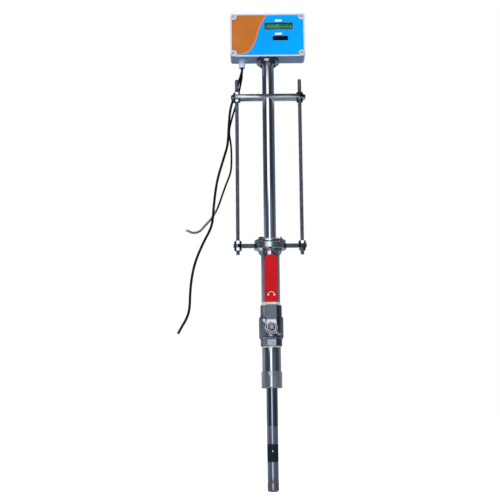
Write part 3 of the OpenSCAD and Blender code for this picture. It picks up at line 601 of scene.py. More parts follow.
class Tree(Graph):
    """A geometry node tree under construction."""

    def __init__(self, name, sockets):
        super().__init__(bpy.data.node_groups.new(name, "GeometryNodeTree"))
        face = self.tree.interface
        face.new_socket("Geometry", in_out="INPUT", socket_type="NodeSocketGeometry")
        self.ids = {}
        for label, kind in sockets.items():
            made = face.new_socket(label, in_out="INPUT", socket_type="NodeSocket" + kind)
            self.ids[label] = made.identifier
        face.new_socket("Geometry", in_out="OUTPUT", socket_type="NodeSocketGeometry")
        self.given = self.tree.nodes.new("NodeGroupInput")
        self.result = self.tree.nodes.new("NodeGroupOutput")

    def value(self, label):
        return Value(self, self.given.outputs[label])

    def index(self):
        return Value(self, self.node("GeometryNodeInputIndex").outputs[0])

    def shifted(self, geometry, move):
        return self.node("GeometryNodeTransform",
                         {"Geometry": geometry, "Translation": move}).outputs[0]

    def stamp(self, points, angle):
        """The tree's shape on points, each copy turned about the upright by an angle."""
        shape = self.node("GeometryNodeObjectInfo", {"Object": self.value("Shape")})
        euler = self.node("CombineXYZ", {"Z": angle}).outputs[0]
        spin = self.node("FunctionNodeEulerToRotation", {"Euler": euler}).outputs[0]
        return self.node("GeometryNodeInstanceOnPoints", {
            "Points": points, "Instance": shape.outputs["Geometry"],
            "Rotation": spin}).outputs[0]

    def end(self, geometry):
        """Ends the tree in real geometry with its material."""
        real = self.node("GeometryNodeRealizeInstances", {"Geometry": geometry})
        done = self.node("GeometryNodeSetMaterial",
                         {"Geometry": real.outputs[0], "Material": self.value("Material")})
        self.tree.links.new(done.outputs[0], self.result.inputs["Geometry"])
        return self

    def grow(self, name, values, verts=((0, 0, 0),), turns=(), sharp=40.0):
        """Runs the tree on a few points and returns the result as a plain object."""
        mesh = bpy.data.meshes.new(name)
        mesh.from_pydata([tuple(v) for v in verts], [], [])
        if turns:
            spin = mesh.attributes.new("turn", "FLOAT", "POINT")
            for item, angle in zip(spin.data, turns):
                item.value = angle
        piece = placed(name, mesh)
        modifier = piece.modifiers.new("grow", "NODES")
        modifier.node_group = self.tree
        for label, value in values.items():
            modifier[self.ids[label]] = value
        return bake_modifiers(piece, sharp)


def thread_tree():
    """A screw thread as one helical strip round a core, from its radii, pitch and length."""
    t = Tree("Screw thread", {"Material": "Material", "Root radius": "Float",
                              "Crest radius": "Float", "Pitch": "Float", "Turns": "Int",
                              "Steps": "Int", "Start": "Vector"})
    turns, steps, pitch = t.value("Turns"), t.value("Steps"), t.value("Pitch")
    root, crest = t.value("Root radius"), t.value("Crest radius")

    def from_start(**spot):
        """A place measured from the thread's start."""
        return t.node("VectorMath", {0: t.node("CombineXYZ", spot).outputs[0],
                                     1: t.value("Start")}, operation="ADD").outputs[0]

    # four points across the strip: on the root, twice on the crest and on the root again
    grid = t.node("GeometryNodeMeshGrid", {"Vertices X": turns * steps + 1.0, "Vertices Y": 4})
    row = t.maths("FLOOR", (t.index() + 0.5) / 4.0)
    column = t.index() - row * 4.0
    angle = row * (2 * math.pi) / steps
    arch = column * (3.0 - column)
    along = column / 3.0 + arch * (3.0 - column * 2.0) * 0.045
    radius = root + (crest - root) * (arch * 0.5)
    place = from_start(X=radius * t.maths("COSINE", angle), Y=radius * t.maths("SINE", angle),
                       Z=pitch * (along + row / steps))
    strip = t.node("GeometryNodeSetPosition",
                   {"Geometry": grid.outputs["Mesh"], "Position": place})
    length = pitch * (turns + 1.0)
    core = t.node("GeometryNodeMeshCylinder", {"Vertices": 32, "Radius": root, "Depth": length})
    both = t.node("GeometryNodeJoinGeometry")
    for part in (strip.outputs[0], t.shifted(core.outputs["Mesh"], from_start(Z=length / 2.0))):
        t.tree.links.new(part, both.inputs[0])
    return t.end(both.outputs[0])


def scatter_tree():
    """Copies of one shape on given points, each turned by its own angle."""
    t = Tree("Shapes on points", {"Material": "Material", "Shape": "Object"})
    turn = t.node("GeometryNodeInputNamedAttribute", {"Name": "turn"}, data_type="FLOAT")
    return t.end(t.stamp(t.value("Geometry"), turn.outputs[0]))


def ring_tree():
    """Copies of one shape round an upright circle, each facing outward."""
    t = Tree("Shapes round a circle", {"Material": "Material", "Shape": "Object", "Count": "Int",
                                       "Radius": "Float", "Centre": "Vector"})
    count = t.value("Count")
    points = t.node("GeometryNodeMeshCircle", {"Vertices": count, "Radius": t.value("Radius")})
    angle = t.index() * (2 * math.pi) / count
    return t.end(t.shifted(t.stamp(points.outputs["Mesh"], angle), t.value("Centre")))


TREES = {}


def shared(maker):
    """A maker's tree, built when it is first asked for."""
    if maker not in TREES:
        TREES[maker] = maker()
    return TREES[maker]


def drop_template(piece):
    bpy.data.objects.remove(piece, do_unlink=True)


def scattered(name, shape, tone, node, spots, turns=(), sharp=30.0, instead=False):
    """A template's copies on given spots as one dressed piece, without the template."""
    values = {"Material": finish(tone), "Shape": shape}
    piece = shared(scatter_tree).grow(name, values, spots, turns, sharp)
    drop_template(shape)
    return dress(piece, tone, node, instead=instead)


def ringed(name, shape, tone, count, radius, centre, sharp=40.0):
    """A template's copies round an upright circle as one piece, without the template."""
    values = {"Material": finish(tone), "Shape": shape, "Count": count, "Radius": radius,
              "Centre": centre}
    piece = shared(ring_tree).grow(name, values, sharp=sharp)
    drop_template(shape)
    return piece


# ---------------------------------------------------------------- settings


class FlowMeterLook(bpy.types.PropertyGroup):
    """Colours and small sizes of the dressed parts."""

    lid_colour: FloatVectorProperty(
        name="Lid colour", description="Paint of the housing and the gland", subtype="COLOR",
        size=3, min=0, max=1, default=(0.58, 0.62, 0.74))
    label_blue: FloatVectorProperty(
        name="Label blue", description="Right part of the front label", subtype="COLOR",
        size=3, min=0, max=1, default=(0.0, 0.34, 0.86))
    label_brown: FloatVectorProperty(
        name="Label brown", description="Left part of the front label", subtype="COLOR",
        size=3, min=0, max=1, default=(0.5, 0.158, 0.028))
    label_orange: FloatVectorProperty(
        name="Label orange", description="Stripe between the two parts of the label",
        subtype="COLOR", size=3, min=0, max=1, default=(0.74, 0.16, 0.008))
    sleeve_red: FloatVectorProperty(
        name="Sleeve red", description="Soft sleeve of the lever", subtype="COLOR",
        size=3, min=0, max=1, default=(0.62, 0.008, 0.012))
    cast_grey: FloatVectorProperty(
        name="Cast grey", description="Blasted casting of the ball valve", subtype="COLOR",
        size=3, min=0, max=1, default=(0.42, 0.43, 0.48))
    rod_pitch: FloatProperty(
        name="Rod pitch", description="Pitch of the thread on the guard rods",
        subtype="DISTANCE", unit="LENGTH", default=1.5 * MM, min=0.5 * MM, max=3 * MM)
    thread_steps: IntProperty(
        name="Thread steps", description="Faces of a thread in one turn", default=18,
        min=8, max=48)
    pipe_pitch: FloatProperty(
        name="Pipe pitch", description="Pitch of the pipe threads", subtype="DISTANCE",
        unit="LENGTH", default=2.31 * MM, min=1 * MM, max=4 * MM)
    strap_t: FloatProperty(
        name="Strap thickness", description="Thickness of the lever's steel strap",
        subtype="DISTANCE", unit="LENGTH", default=4 * MM, min=2 * MM, max=6 * MM)
    bend_r: FloatProperty(
        name="Bend radius", description="Radius of the two bends of the lever",
        subtype="DISTANCE", unit="LENGTH", default=11 * MM, min=5 * MM, max=30 * MM)


class FlowMeterShot(bpy.types.PropertyGroup):
    """Camera and light."""

    lens: FloatProperty(name="Lens", description="Focal length in millimetres on a 36 mm sensor",
                        default=72.0, min=20, max=200)
    distance: FloatProperty(name="Distance", description="From the camera to the stem axis",
                            subtype="DISTANCE", unit="LENGTH", default=2.574, min=1, max=10)
    height: FloatProperty(name="Height", description="Height of the camera", subtype="DISTANCE",
                          unit="LENGTH", default=-0.0682, min=-1, max=3)
    side: FloatProperty(name="Side", description="Camera to the right of the stem axis",
                        subtype="DISTANCE", unit="LENGTH", default=-0.0527, min=-1, max=1)
    pitch: FloatProperty(name="Pitch", description="Upward tilt of the camera", subtype="ANGLE",
                         default=math.radians(9.4))
    roll: FloatProperty(name="Roll", description="Turn of the camera about its view",
                        subtype="ANGLE", default=math.radians(-0.56))
    room_light: FloatProperty(name="Room light", description="Strength of the even light",
                              default=0.8, min=0, max=3)
    key_light: FloatProperty(name="Key light",
                             description="Power of the large front light in watts",
                             default=62.0, min=0, max=500)
    show_floor: BoolProperty(name="Floor", description="Put a pale floor under the probe",
                             default=True)


def look():
    return bpy.context.scene.flow_look


def shot():
    return bpy.context.scene.flow_shot


# ---------------------------------------------------------------- finishes

FINISHES = {}


def finish(name):
    """The material of a finish, made when it is first asked for."""
    if name not in FINISHES:
        maker = next(maker for maker, finishes in MAKERS.items() if name in finishes)
        FINISHES[name] = maker(name, *(
            tuple(getattr(look(), value)) if isinstance(value, str) else value
            for value in MAKERS[maker][name]))
    return FINISHES[name]


def label_print(name):
    """Printed film: blue and brown fields divided by an orange S-shaped stripe."""
    s = Shader(name)
    x, _, z = s.axes()
    bottom, top = LABEL_LOW.z, LABEL_HIGH.z
    half = (LABEL_HIGH.x - LABEL_LOW.x) / 2
    up = s.between(z, bottom, top)

    def divide(height):
        """Where the stripe runs at a share of the label's height."""
        curve = s.node("FloatCurve", {"Value": height})
        line = curve.mapping.curves[0]
        spots = [(share, 0.5 + side / (2 * half)) for share, side in (
            (0.0, -0.088), (0.022, -0.078), (0.04, -0.062), (0.1, -0.0495), (0.21, -0.040),
            (0.36, -0.032), (0.55, -0.026), (0.73, -0.0193), (0.88, -0.011), (1.0, -0.001))]
        line.points[0].location, line.points[-1].location = spots[0], spots[-1]
        for spot in spots[1:-1]:
            line.points.new(*spot)
        curve.mapping.update()
        return s.between(curve.outputs[0], 0.0, 1.0, -half, half)

    step = 0.012
    here, above = divide(up), divide(up + step)
    slope = (above - here) / (step * (top - bottom))
    off = (x - here) / s.maths("SQRT", slope * slope + 1.0)
    grain = s.noise(2600.0, 2.0)
    cloud = s.between(s.noise(14.0, 3.0, 0.5), 0.35, 0.65)
    brown = s.mix(cloud, dimmed(look().label_brown, 0.86), look().label_brown)
    blue = s.mix(cloud, dimmed(look().label_blue, 0.9), look().label_blue)
    fields = s.mix(s.between(off, -0.3 * MM, 0.3 * MM), brown, blue)
    band = s.between(abs(off + 1.6 * MM), 2.2 * MM, 1.7 * MM)
    tone = s.mix(band, fields, look().label_orange)
    return s.put(Base_Color=tone, Roughness=s.swing(grain, 0.36, 0.46),
                 Specular_IOR_Level=0.08, Normal=s.bump(grain, 0.00001))


def wrapped_tape(name):
    """Thin stretched sealing tape: creamy, with thread marks and dirty rims."""
    s = Shader(name)
    strands = s.noise(220.0, 4.0, 0.7, (1, 1, 12))
    stain = s.noise(90.0, 5.0, 0.65)
    tone = s.mix(s.between(stain, 0.42, 0.7), (0.74, 0.77, 0.56), (0.5, 0.5, 0.33))
    tone = s.mix(s.between(strands, 0.35, 0.65), tone, (0.86, 0.87, 0.72))
    return s.put(Base_Color=tone, Roughness=0.62, Subsurface_Weight=0.08,
                 Normal=s.bump(strands, 0.0001))


def lit_display(name):
    """Backlit green glass of the display, brighter at its middle."""
    s = Shader(name)
    x, _, _ = s.axes()
    glow = s.between(abs(x - middle("lcd_module").x), 0.0, 36 * MM, 1.0, 0.72, smooth=True)
    tone = s.mix(glow, (0.012, 0.13, 0.055), (0.022, 0.22, 0.09))
    return s.put(Base_Color=tone, Roughness=s.swing(s.noise(800.0, 2.0), 0.25, 0.35),
                 Emission_Color=tone, Emission_Strength=0.2)


def slotted_head(name):
    """Pale screw head whose slot is dark with shadow and dust."""
    s = Shader(name)
    _, depth, _ = s.axes()
    face = low("lid_screws")[1]
    tone = s.mix(s.between(depth, face + 0.25 * MM, face + 0.5 * MM), (0.6, 0.64, 0.74),
                 (0.02, 0.022, 0.03))
    return s.put(Base_Color=tone, Roughness=s.swing(s.noise(500.0, 3.0), 0.34, 0.44))


def hub_painted_light(s):
    """Painted highlights on rims and painted shade in hollows round the lever's axis, bright strap
    beyond.
    """
    away = s.from_axis((0.0, BALL_Z))
    flats = s.from_flats((0.0, BALL_Z), math.radians(30) + NUT_TURN)
    away = flats + (away - flats) * s.between(away, 11.2 * MM, 12.8 * MM)
    return s.levels(away, 0, 20, (
        (0.0, 0.42), (17.5, 0.62), (3.0, 0.4), (4.4, 0.3), (5.0, 0.62), (5.8, 0.4), (6.4, 0.04),
        (8.6, 0.06), (9.2, 0.5), (9.8, 1.0), (10.9, 1.0), (11.6, 0.03), (13.6, 0.06),
        (14.8, 0.95), (16.4, 0.95)))


def nut_painted_light(s):
    """Painted highlight on the front middle of each lock nut, painted shade on its sides."""
    x, _, _ = s.axes()
    return s.ramp(s.between(abs(abs(x) - ROD_X), 0.0, 10 * MM), [
        (0.0, 1.12, 0.0), (1.0, 0.22, 0.1), (0.28, 1.12, 0.0), (0.42, 0.15, 0.1)])


def arm_painted_shade(s):
    """Painted shade that darkens the arms beside the turned ring, and the ears by half."""
    x, _, _ = s.axes()
    return s.ramp(s.between(abs(x), 0.0, 110 * MM), [
        (0.0, 1.0, 0.0), (1.0, 0.5, 0.1), (0.345, 1.0, 0.0), (0.36, 0.08, 0.15),
        (0.76, 0.08, 0.15), (0.81, 0.5, 0.1)])


def bar_streaks_and_painted_light(s):
    """Rolled bar with dark streaks, a painted highlight along its lower edge, and painted shade
    towards its upper edge and its right end.
    """
    x, _, z = s.axes()
    # painted highlight at the lower edge, painted shade towards the upper edge
    up = s.ramp(s.between(z, BAR_LOW, BAR_HIGH), [
        (0.0, 1.7, 0.0), (1.0, 0.08, 0.1), (0.1, 1.4, 0.0), (0.24, 0.6, 0.05), (0.45, 0.34, 0.05),
        (0.7, 0.28, 0.05), (0.84, 0.11, 0.1)])
    edge = s.between(z, BAR_LOW + 1.2 * MM, BAR_LOW + 0.4 * MM)
    streaks = s.between(s.noise(75.0, 3.0, 0.6, (0.35, 1, 1.6)), 0.4, 0.62, 0.35, 1.45)
    # painted shade towards the right end
    painted_falloff = s.between(x, -70 * MM, 30 * MM, 1.1, 0.36, smooth=True)
    return s.times(up, s.grey(s.maths("MAXIMUM", streaks, edge) * s.maths("MAXIMUM", painted_falloff, edge)))


def body_painted_sheen(s):
    """Painted sheen round the valve's cast body: a painted highlight beside the strap, painted
    shade at its right.
    """
    x, _, _ = s.axes()
    return s.levels(x, -32, 32, (
        (-32.0, 0.9), (32.0, 1.0), (-24.0, 0.95), (-19.0, 1.7), (-15.5, 1.5), (-12.0, 0.9),
        (-4.0, 1.0), (12.0, 1.0), (15.0, 0.35), (19.5, 0.35), (23.0, 0.8), (28.0, 0.85)), 0.05)


def tip_painted_shade(s):
    """Painted shade round the probe's lower rim."""
    _, _, z = s.axes()
    return s.grey(s.between(z, CAD_LOW[2] + 0.6 * MM, CAD_LOW[2] + 2.6 * MM, 0.25, 1.0))


def clear_pane(name):
    """Clear window film with fine scratches."""
    s = Shader(name)
    scratch = s.noise(300.0, 4.0, 0.7, (1, 1, 30))
    return s.put(Base_Color=(0.9, 0.93, 0.92), Transmission_Weight=1.0, IOR=1.05,
                 Roughness=s.between(scratch, 0.45, 0.75, 0.02, 0.09))


def circuit_resin(name):
    """Green solder mask with faint copper tracks under it."""
    s = Shader(name)
    tracks = s.node("TexBrick", {"Vector": s.place(), "Scale": 60.0, "Mortar Size": 0.03})
    tone = s.mix(tracks.outputs["Fac"], (0.01, 0.09, 0.03), (0.03, 0.16, 0.05))
    return s.put(Base_Color=tone, Roughness=0.3)


# The finishes of each maker, with its values in order; a word stands for a colour of the look
# settings. A grained metal has: colour, roughness, grain, its scale, spread of roughness, depth,
# dirt, its scale, metallic share, wave, reach of painted shade in corners, level of painted light
# and shade.
PLAIN, ACROSS, UPRIGHT = (1, 1, 1), (1, 8, 1), (0.5, 0.5, 40)
MAKERS = {
    cast_metal: {"cast_steel": ("cast_grey", 0.22)},
    grained_metal: {
        "pipe_steel": ((0.76, 0.78, 0.82), 0.07, (1, 1, 30), 60.0, 0.05, 0.000006, 0.22, 26.0),
        "coupling_steel": ((0.56, 0.58, 0.62), 0.035, (1, 1, 14), 160.0, 0.03, 0.000001, 0.2,
                           30.0, 0.8),
        "weld": ((0.6, 0.61, 0.65), 0.35, PLAIN, 350.0, 0.2, 0.00006, 0.4, 140.0),
        "dark_bolt": ((0.16, 0.16, 0.17), 0.36, PLAIN, 400.0, 0.16, 0.00003, 0.3, 100.0),
        "plate_steel": ((0.8, 0.81, 0.84), 0.12, ACROSS, 120.0, 0.06, 0.000006, 0.25, 40.0, 1.0,
                        0.0004),
        "ring_steel": ((0.86, 0.88, 0.92), 0.2, ACROSS, 120.0, 0.06, 0.000006, 0.2, 40.0, 1.0,
                       0.0, 0.0, arm_painted_shade),
        "bar_steel": ((0.8, 0.87, 0.98), 0.1, ACROSS, 120.0, 0.06, 0.000006, 0.3, 40.0, 0.92,
                      0.001, 0.0, bar_streaks_and_painted_light),
        "bolt_steel": ((0.84, 0.85, 0.88), 0.12, PLAIN, 500.0, 0.08, 0.000006, 0.25, 120.0),
        "nut_steel": ((0.88, 0.89, 0.92), 0.09, PLAIN, 500.0, 0.06, 0.000004, 0.15, 120.0, 1.0,
                      0.0, 0.0, nut_painted_light),
        "hub_steel": ((0.82, 0.83, 0.87), 0.16, (6, 6, 1), 150.0, 0.08, 0.00001, 0.2, 45.0, 0.95,
                      0.0, 4 * MM, hub_painted_light),
        "rod_steel": ((0.5, 0.53, 0.61), 0.52, PLAIN, 300.0, 0.1, 0.000006, 0.25, 60.0),
        "brushed_probe": ((0.36, 0.38, 0.46), 0.08, UPRIGHT, 60.0, 0.05, 0.000001, 0.14, 40.0,
                          0.8),
        "end_cap_steel": ((0.4, 0.41, 0.44), 0.2, UPRIGHT, 60.0, 0.1, 0.000004, 0.35, 60.0, 0.85,
                          0.0, 0.0, tip_painted_shade),
        "copper": ((0.7, 0.32, 0.16), 0.3, (1, 1, 40), 80.0),
        "strands": ((0.78, 0.42, 0.22), 0.28, PLAIN, 600.0)},
    polished_metal: {
        "probe_steel": ((0.345, 0.36, 0.43), 0.03), "ball_steel": ((0.8, 0.8, 0.82),),
        "flange_steel": ((0.46, 0.48, 0.54), 0.08), "polished_steel": ((0.86, 0.86, 0.88),),
        "electrode": ((0.9, 0.9, 0.88), 0.12)},
    moulded_plastic: {
        "terminal": ((0.02, 0.16, 0.05), 0.45, 0.05), "lcd_dot": ((0.012, 0.025, 0.01), 0.4),
        "seal_white": ((0.82, 0.82, 0.76), 0.5), "ferrite": ((0.05, 0.05, 0.055), 0.7),
        # housing tints the base bluer than the lid's same plastic: a painted cool shade
        "housing": ((0.5, 0.61, 0.8), 0.42, 0.08, 1300.0, 0.00005),
        "housing_lid": ("lid_colour", 0.4, 0.1, 1300.0, 0.00004),
        # the dark ring finish after screw_cover is painted shade round the screw seats
        "screw_cover": ((0.62, 0.66, 0.76), 0.36, 0.1), "groove": ((0.07, 0.08, 0.13), 0.6),
        "label_white": ((0.86, 0.88, 0.92), 0.4, 0.1), "cut_face": ((0.05, 0.05, 0.055), 0.7),
        "bezel": ((0.014, 0.012, 0.012), 0.55, 0.02), "lcd_cell": ((0.01, 0.08, 0.03), 0.35),
        "gland_plastic": ((0.62, 0.72, 0.9), 0.42, 0.06, 1200.0)},
    soft_rubber: {
        "insulator": ((0.008, 0.013, 0.02), 0.4, 0.25), "black_rubber": ((0.018, 0.018, 0.02),),
        "key_black": ((0.004, 0.004, 0.005), 0.55, 0.06)},
    cable_skin: {"cable_jacket": ((0.004, 0.004, 0.005), (0.012, 0.012, 0.013))},
    core_skin: {"core_red": ((0.11, 0.002, 0.005),), "core_green": ((0.0, 0.045, 0.038),),
                "core_white": ((0.012, 0.01, 0.014),)},
    sleeve_vinyl: {"red_vinyl": ("sleeve_red",)}, wrapped_tape: {"tape": ()},
    label_print: {"label": ()}, slotted_head: {"slotted_head": ()}, clear_pane: {"window": ()},
    lit_display: {"lcd": ()}, circuit_resin: {"board": ()},
}


# ---------------------------------------------------------------- cable routes, in millimetres

GLAND_X = middle("gland_insert")[0] / MM
GLAND_Z = low("gland_insert")[2] / MM
POWER_D, SIGNAL_D, CORE_D = 6.6, 5.2, 1.8
POWER_OFF, SIGNAL_OFF = 3.0, 3.2
POWER_ROUTE = [
    (GLAND_X, -POWER_OFF, GLAND_Z), (GLAND_X, -POWER_OFF, GLAND_Z - 10),
    (GLAND_X - 3.4, 1.0, GLAND_Z - 22), (GLAND_X - 8.8, 8.8, GLAND_Z - 36),
    (GLAND_X - 13.4, 18.4, GLAND_Z - 50), (GLAND_X - 18.4, 24.3, GLAND_Z - 64),
    (-93.8, 26.4, 775), (-98.6, 26.4, 760), (-102.4, 26.2, 743), (-105, 26, 720),
    (-107.2, 26, 690), (-108.6, 26, 665), (-111.5, 26, 643), (-117.5, 26, 622), (-125, 26, 597),
    (-132.5, 26, 572), (-139, 26, 545), (-143.4, 26, 518), (-146.4, 26, 492), (-148.8, 26, 468),
    (-150.4, 26, 448), (-153.6, 26, 430), (-160.5, 26, 412), (-170.8, 26, 392),
    (-180.8, 26, 371), (-189.8, 26, 350), (-197.5, 26, 328), (-203, 26, 306), (-206.8, 26, 284),
    (-209.3, 26, 262), (-210.7, 26, 240), (-211.7, 26, 218), (-214.3, 26, 199), (-221, 26, 181),
    (-230.5, 26, 164), (-242.1, 26, 143.4)]
SIGNAL_ROUTE = [
    (GLAND_X, SIGNAL_OFF, GLAND_Z), (GLAND_X, SIGNAL_OFF, GLAND_Z - 10),
    (GLAND_X - 0.4, 8.2, GLAND_Z - 22), (GLAND_X - 3.4, 16, GLAND_Z - 36),
    (GLAND_X - 6.7, 23.4, GLAND_Z - 50), (GLAND_X - 10, 29.6, GLAND_Z - 62), (-83.2, 33.2, 778),
    (-86.2, 34.2, 763), (-90.6, 34, 749), (-95.8, 34, 732), (-101.2, 34, 712), (-104.8, 34, 694),
    (-105, 34, 678), (-102.6, 34, 661), (-100.8, 34, 643), (-100, 34, 622), (-100.2, 34, 601),
    (-102.6, 34, 576), (-111.8, 34, 549), (-118.4, 34, 532), (-124.8, 34, 514),
    (-131.2, 34, 495), (-137.6, 34, 477.7)]
CORE_ROUTES = {
    "core_green": [
        (-138.61, 33.43, 477.86), (-146.05, 33.6, 466.4), (-156.2, 33.8, 450.3),
        (-173.1, 34, 431.8), (-188.6, 34.2, 416.3), (-202.8, 34.2, 413.4), (-217.6, 34, 419.4)],
    "core_red": [
        (-137.67, 35.15, 477.51), (-144.2, 34.9, 465.3), (-154.5, 34.6, 449),
        (-171.5, 34.4, 430.3), (-187.5, 34.2, 414.4), (-203, 34, 411.3), (-219.8, 34, 417.9)],
    "core_white": [
        (-136.73, 33.43, 477.16), (-142.35, 33.6, 464.2), (-152.8, 33.7, 447.7),
        (-169.9, 33.8, 428.8), (-186.4, 33.8, 412.5), (-203.2, 33.6, 409.2), (-221, 33.4, 415.6)]}


def cable_curve(name, route, diameter, tone):
    """A smooth round curve through given points."""
    curve = bpy.data.curves.new(name, "CURVE")
    curve.dimensions = "3D"
    curve.bevel_depth = diameter / 2 * MM
    curve.bevel_resolution = 5
    curve.resolution_u = 6
    curve.use_fill_caps = True
    line = curve.splines.new("BEZIER")
    line.bezier_points.add(len(route) - 1)
    for point, spot in zip(line.bezier_points, route):
        point.co = Vector(spot) * MM
        point.handle_left_type = point.handle_right_type = "AUTO"
    curve.materials.append(finish(tone))
    return placed(name, curve)


def facing(place, way, axis):
    """A place and turn whose axis points along a direction."""
    return Matrix.Translation(place) @ way.to_track_quat(axis, "Y").to_matrix().to_4x4()


def end_frame(route):
    """Place and direction of a route's free end."""
    tip, before = Vector(route[-1]) * MM, Vector(route[-2]) * MM
    return facing(tip, (tip - before).normalized(), "Z")


def forward(x, z, y=0.0):
    """Turns a shape made along +Z so that it points to the front, at a place."""
    return Matrix.Translation((x, y, z)) @ Matrix.Rotation(math.radians(90), 4, "X")


def moved(piece, matrix):
    """Moves the mesh itself, so that the object stays at the origin."""
    piece.data.transform(matrix)
    return piece


def joined(name, pieces):
    """One object from several, with their meshes put together."""
    bm = bmesh.new()
    for piece in pieces:
        bm.from_mesh(piece.data)
    mesh = mesh_of(name, bm)
    for piece in pieces:
        drop_template(piece)
    return placed(name, shade(mesh, 35))


def cut_away(piece, cutter):
    """Cuts one closed mesh out of another."""
    tool = piece.modifiers.new("cut", "BOOLEAN")
    tool.operation = "DIFFERENCE"
    tool.solver = "EXACT"
    tool.object = cutter
    bake_modifiers(piece, 30.0)
    drop_template(cutter)
    return piece


# ---------------------------------------------------------------- operators


class BuildStage(bpy.types.Operator):
    """Puts up the camera, the floor and the light"""

    bl_idname = "flowmeter.stage"
    bl_label = "Stage"

    def execute(self, context):
        scene, s = context.scene, shot()
        scene.view_settings.view_transform = "Standard"
        camera = placed("camera", bpy.data.cameras.new("camera"))
        scene.camera = camera
        camera.data.lens = s.lens
        camera.data.sensor_width = 36.0
        camera.matrix_world = (Matrix.Translation((s.side, -s.distance, s.height))
                               @ Matrix.Rotation(math.radians(90) + s.pitch, 4, "X")
                               @ Matrix.Rotation(s.roll, 4, "Z"))
        camera.data.clip_start, camera.data.clip_end = 0.05, 60.0
        self.world(scene, s)
        self.lamp("key_light", (-1.3, -2.4, 1.9), (0, 0, 0.55), s.key_light, (1.1, 2.0))
        self.lamp("side_light", (2.2, -1.3, 0.9), (0, 0, 0.4), s.key_light * 0.35, (0.9, 2.2))
        if s.show_floor:
            self.floor()
        return {"FINISHED"}

    def lamp(self, name, place, aim, power, size):
        data = bpy.data.lights.new(name, "AREA")
        data.shape = "RECTANGLE"
        data.size, data.size_y = size
        data.energy = power
        lamp = placed(name, data)
        lamp.visible_glossy = False
        lamp.matrix_world = facing(place, Vector(aim) - Vector(place), "-Z")

    def world(self, scene, s):
        """Even light, white behind the object, and a banded room for what is polished."""
        world = bpy.data.worlds.new("studio")
        world.use_nodes = True
        scene.world = world
        g = Graph(world.node_tree)
        g.tree.nodes.clear()
        rays = g.node("LightPath").outputs
        x, y, up = g.split(g.node("TexCoord").outputs["Generated"])
        around = g.between(g.maths("ARCTAN2", x, y * -1.0), -math.pi, math.pi)
        high_bands = self.bands(g, around, (
            (-180, 0.3, 0.3), (-128, 0.13, 0.35), (-98, 0.08, 0.35), (-60, 0.03, 0.2),
            (-40, 0.04, 0.2), (-31, 1.3, 0.0), (3, 1.3, 0.0), (12, 0.16, 0.4), (24, 0.03, 0.2),
            (60, 0.035, 0.1), (85, 0.09, 0.2), (112, 0.12, 0.25), (180, 0.3, 0.3)))
        low_bands = self.bands(g, around, (
            (-180, 0.4, 0.15), (-115, 0.34, 0.15), (-96, 0.34, 0.15), (-80, 0.1, 0.3),
            (-60, 0.07, 0.2), (-36, 0.09, 0.25), (-20, 0.18, 0.3), (-12, 1.9, 0.05),
            (-1, 1.9, 0.05), (8, 0.18, 0.4), (38, 0.14, 0.2), (60, 0.06, 0.1), (82, 0.06, 0.05),
            (100, 0.14, 0.05), (122, 0.25, 0.1), (180, 0.4, 0.1)))
        room = low_bands
        # each layer begins and is full at a height of the ray: bands, beam, roof, skirt, ground
        for first, last, tone in ((0.1, 0.19, high_bands), (0.42, 0.5, (0.06, 0.07, 0.09)),
                                  (0.72, 0.9, (0.85, 0.86, 0.88)),
                                  (-0.15, -0.21, (0.04, 0.045, 0.055)),
                                  (-0.26, -0.36, (0.3, 0.35, 0.43))):
            room = g.mix(g.between(up, first, last, smooth=True), room, tone)
        even = g.mix(g.between(up, -0.2, 0.3, smooth=True), (0.26, 0.3, 0.38), (0.95, 0.97, 1.0))
        first = g.node("MixShader", {
            0: rays["Is Glossy Ray"],
            1: g.node("Background", {"Color": even, "Strength": s.room_light}).outputs[0],
            2: g.node("Background", {"Color": room}).outputs[0]})
        white = g.node("Background", {"Color": (1.0, 1.0, 1.0)}).outputs[0]
        plain_ray = g.maths("MAXIMUM", rays["Is Camera Ray"], rays["Is Transmission Ray"])
        second = g.node("MixShader", {0: plain_ray, 1: first.outputs[0], 2: white})
        g.node("OutputWorld", {"Surface": second.outputs[0]})

    def bands(self, g, around, stops):
        """A ramp round the room, from degrees off its back."""
        return g.ramp(around, [((angle + 180) / 360, level, blue) for angle, level, blue
                               in stops[:1] + stops[-1:] + stops[1:-1]])

    def floor(self):
        """A wide pale floor just under the probe's tip."""
        bm = bmesh.new()
        bmesh.ops.create_grid(bm, x_segments=2, y_segments=2, size=30.0)
        floor = moved(placed("floor", mesh_of("floor", bm)),
                      Matrix.Translation((0, 0, CAD_LOW[2] - 4 * MM)))
        s = Shader("floor_white")
        paper = s.mix(s.swing(s.noise(40.0, 3.0), 0.0, 1.0), (0.86, 0.86, 0.86),
                      (0.89, 0.89, 0.89))
        s.put(Base_Color=paper, Roughness=0.9, Specular_IOR_Level=0.0,
              Emission_Color=(1.0, 1.0, 1.0), Emission_Strength=0.55)
        camera_ray = s.node("LightPath").outputs["Is Camera Ray"]
        clear = s.node("BsdfTransparent").outputs[0]
        seen = s.node("MixShader", {0: camera_ray, 1: clear, 2: s.main.outputs[0]})
        s.tree.links.new(seen.outputs[0], s.out.inputs["Surface"])
        floor.data.materials.append(s.material)


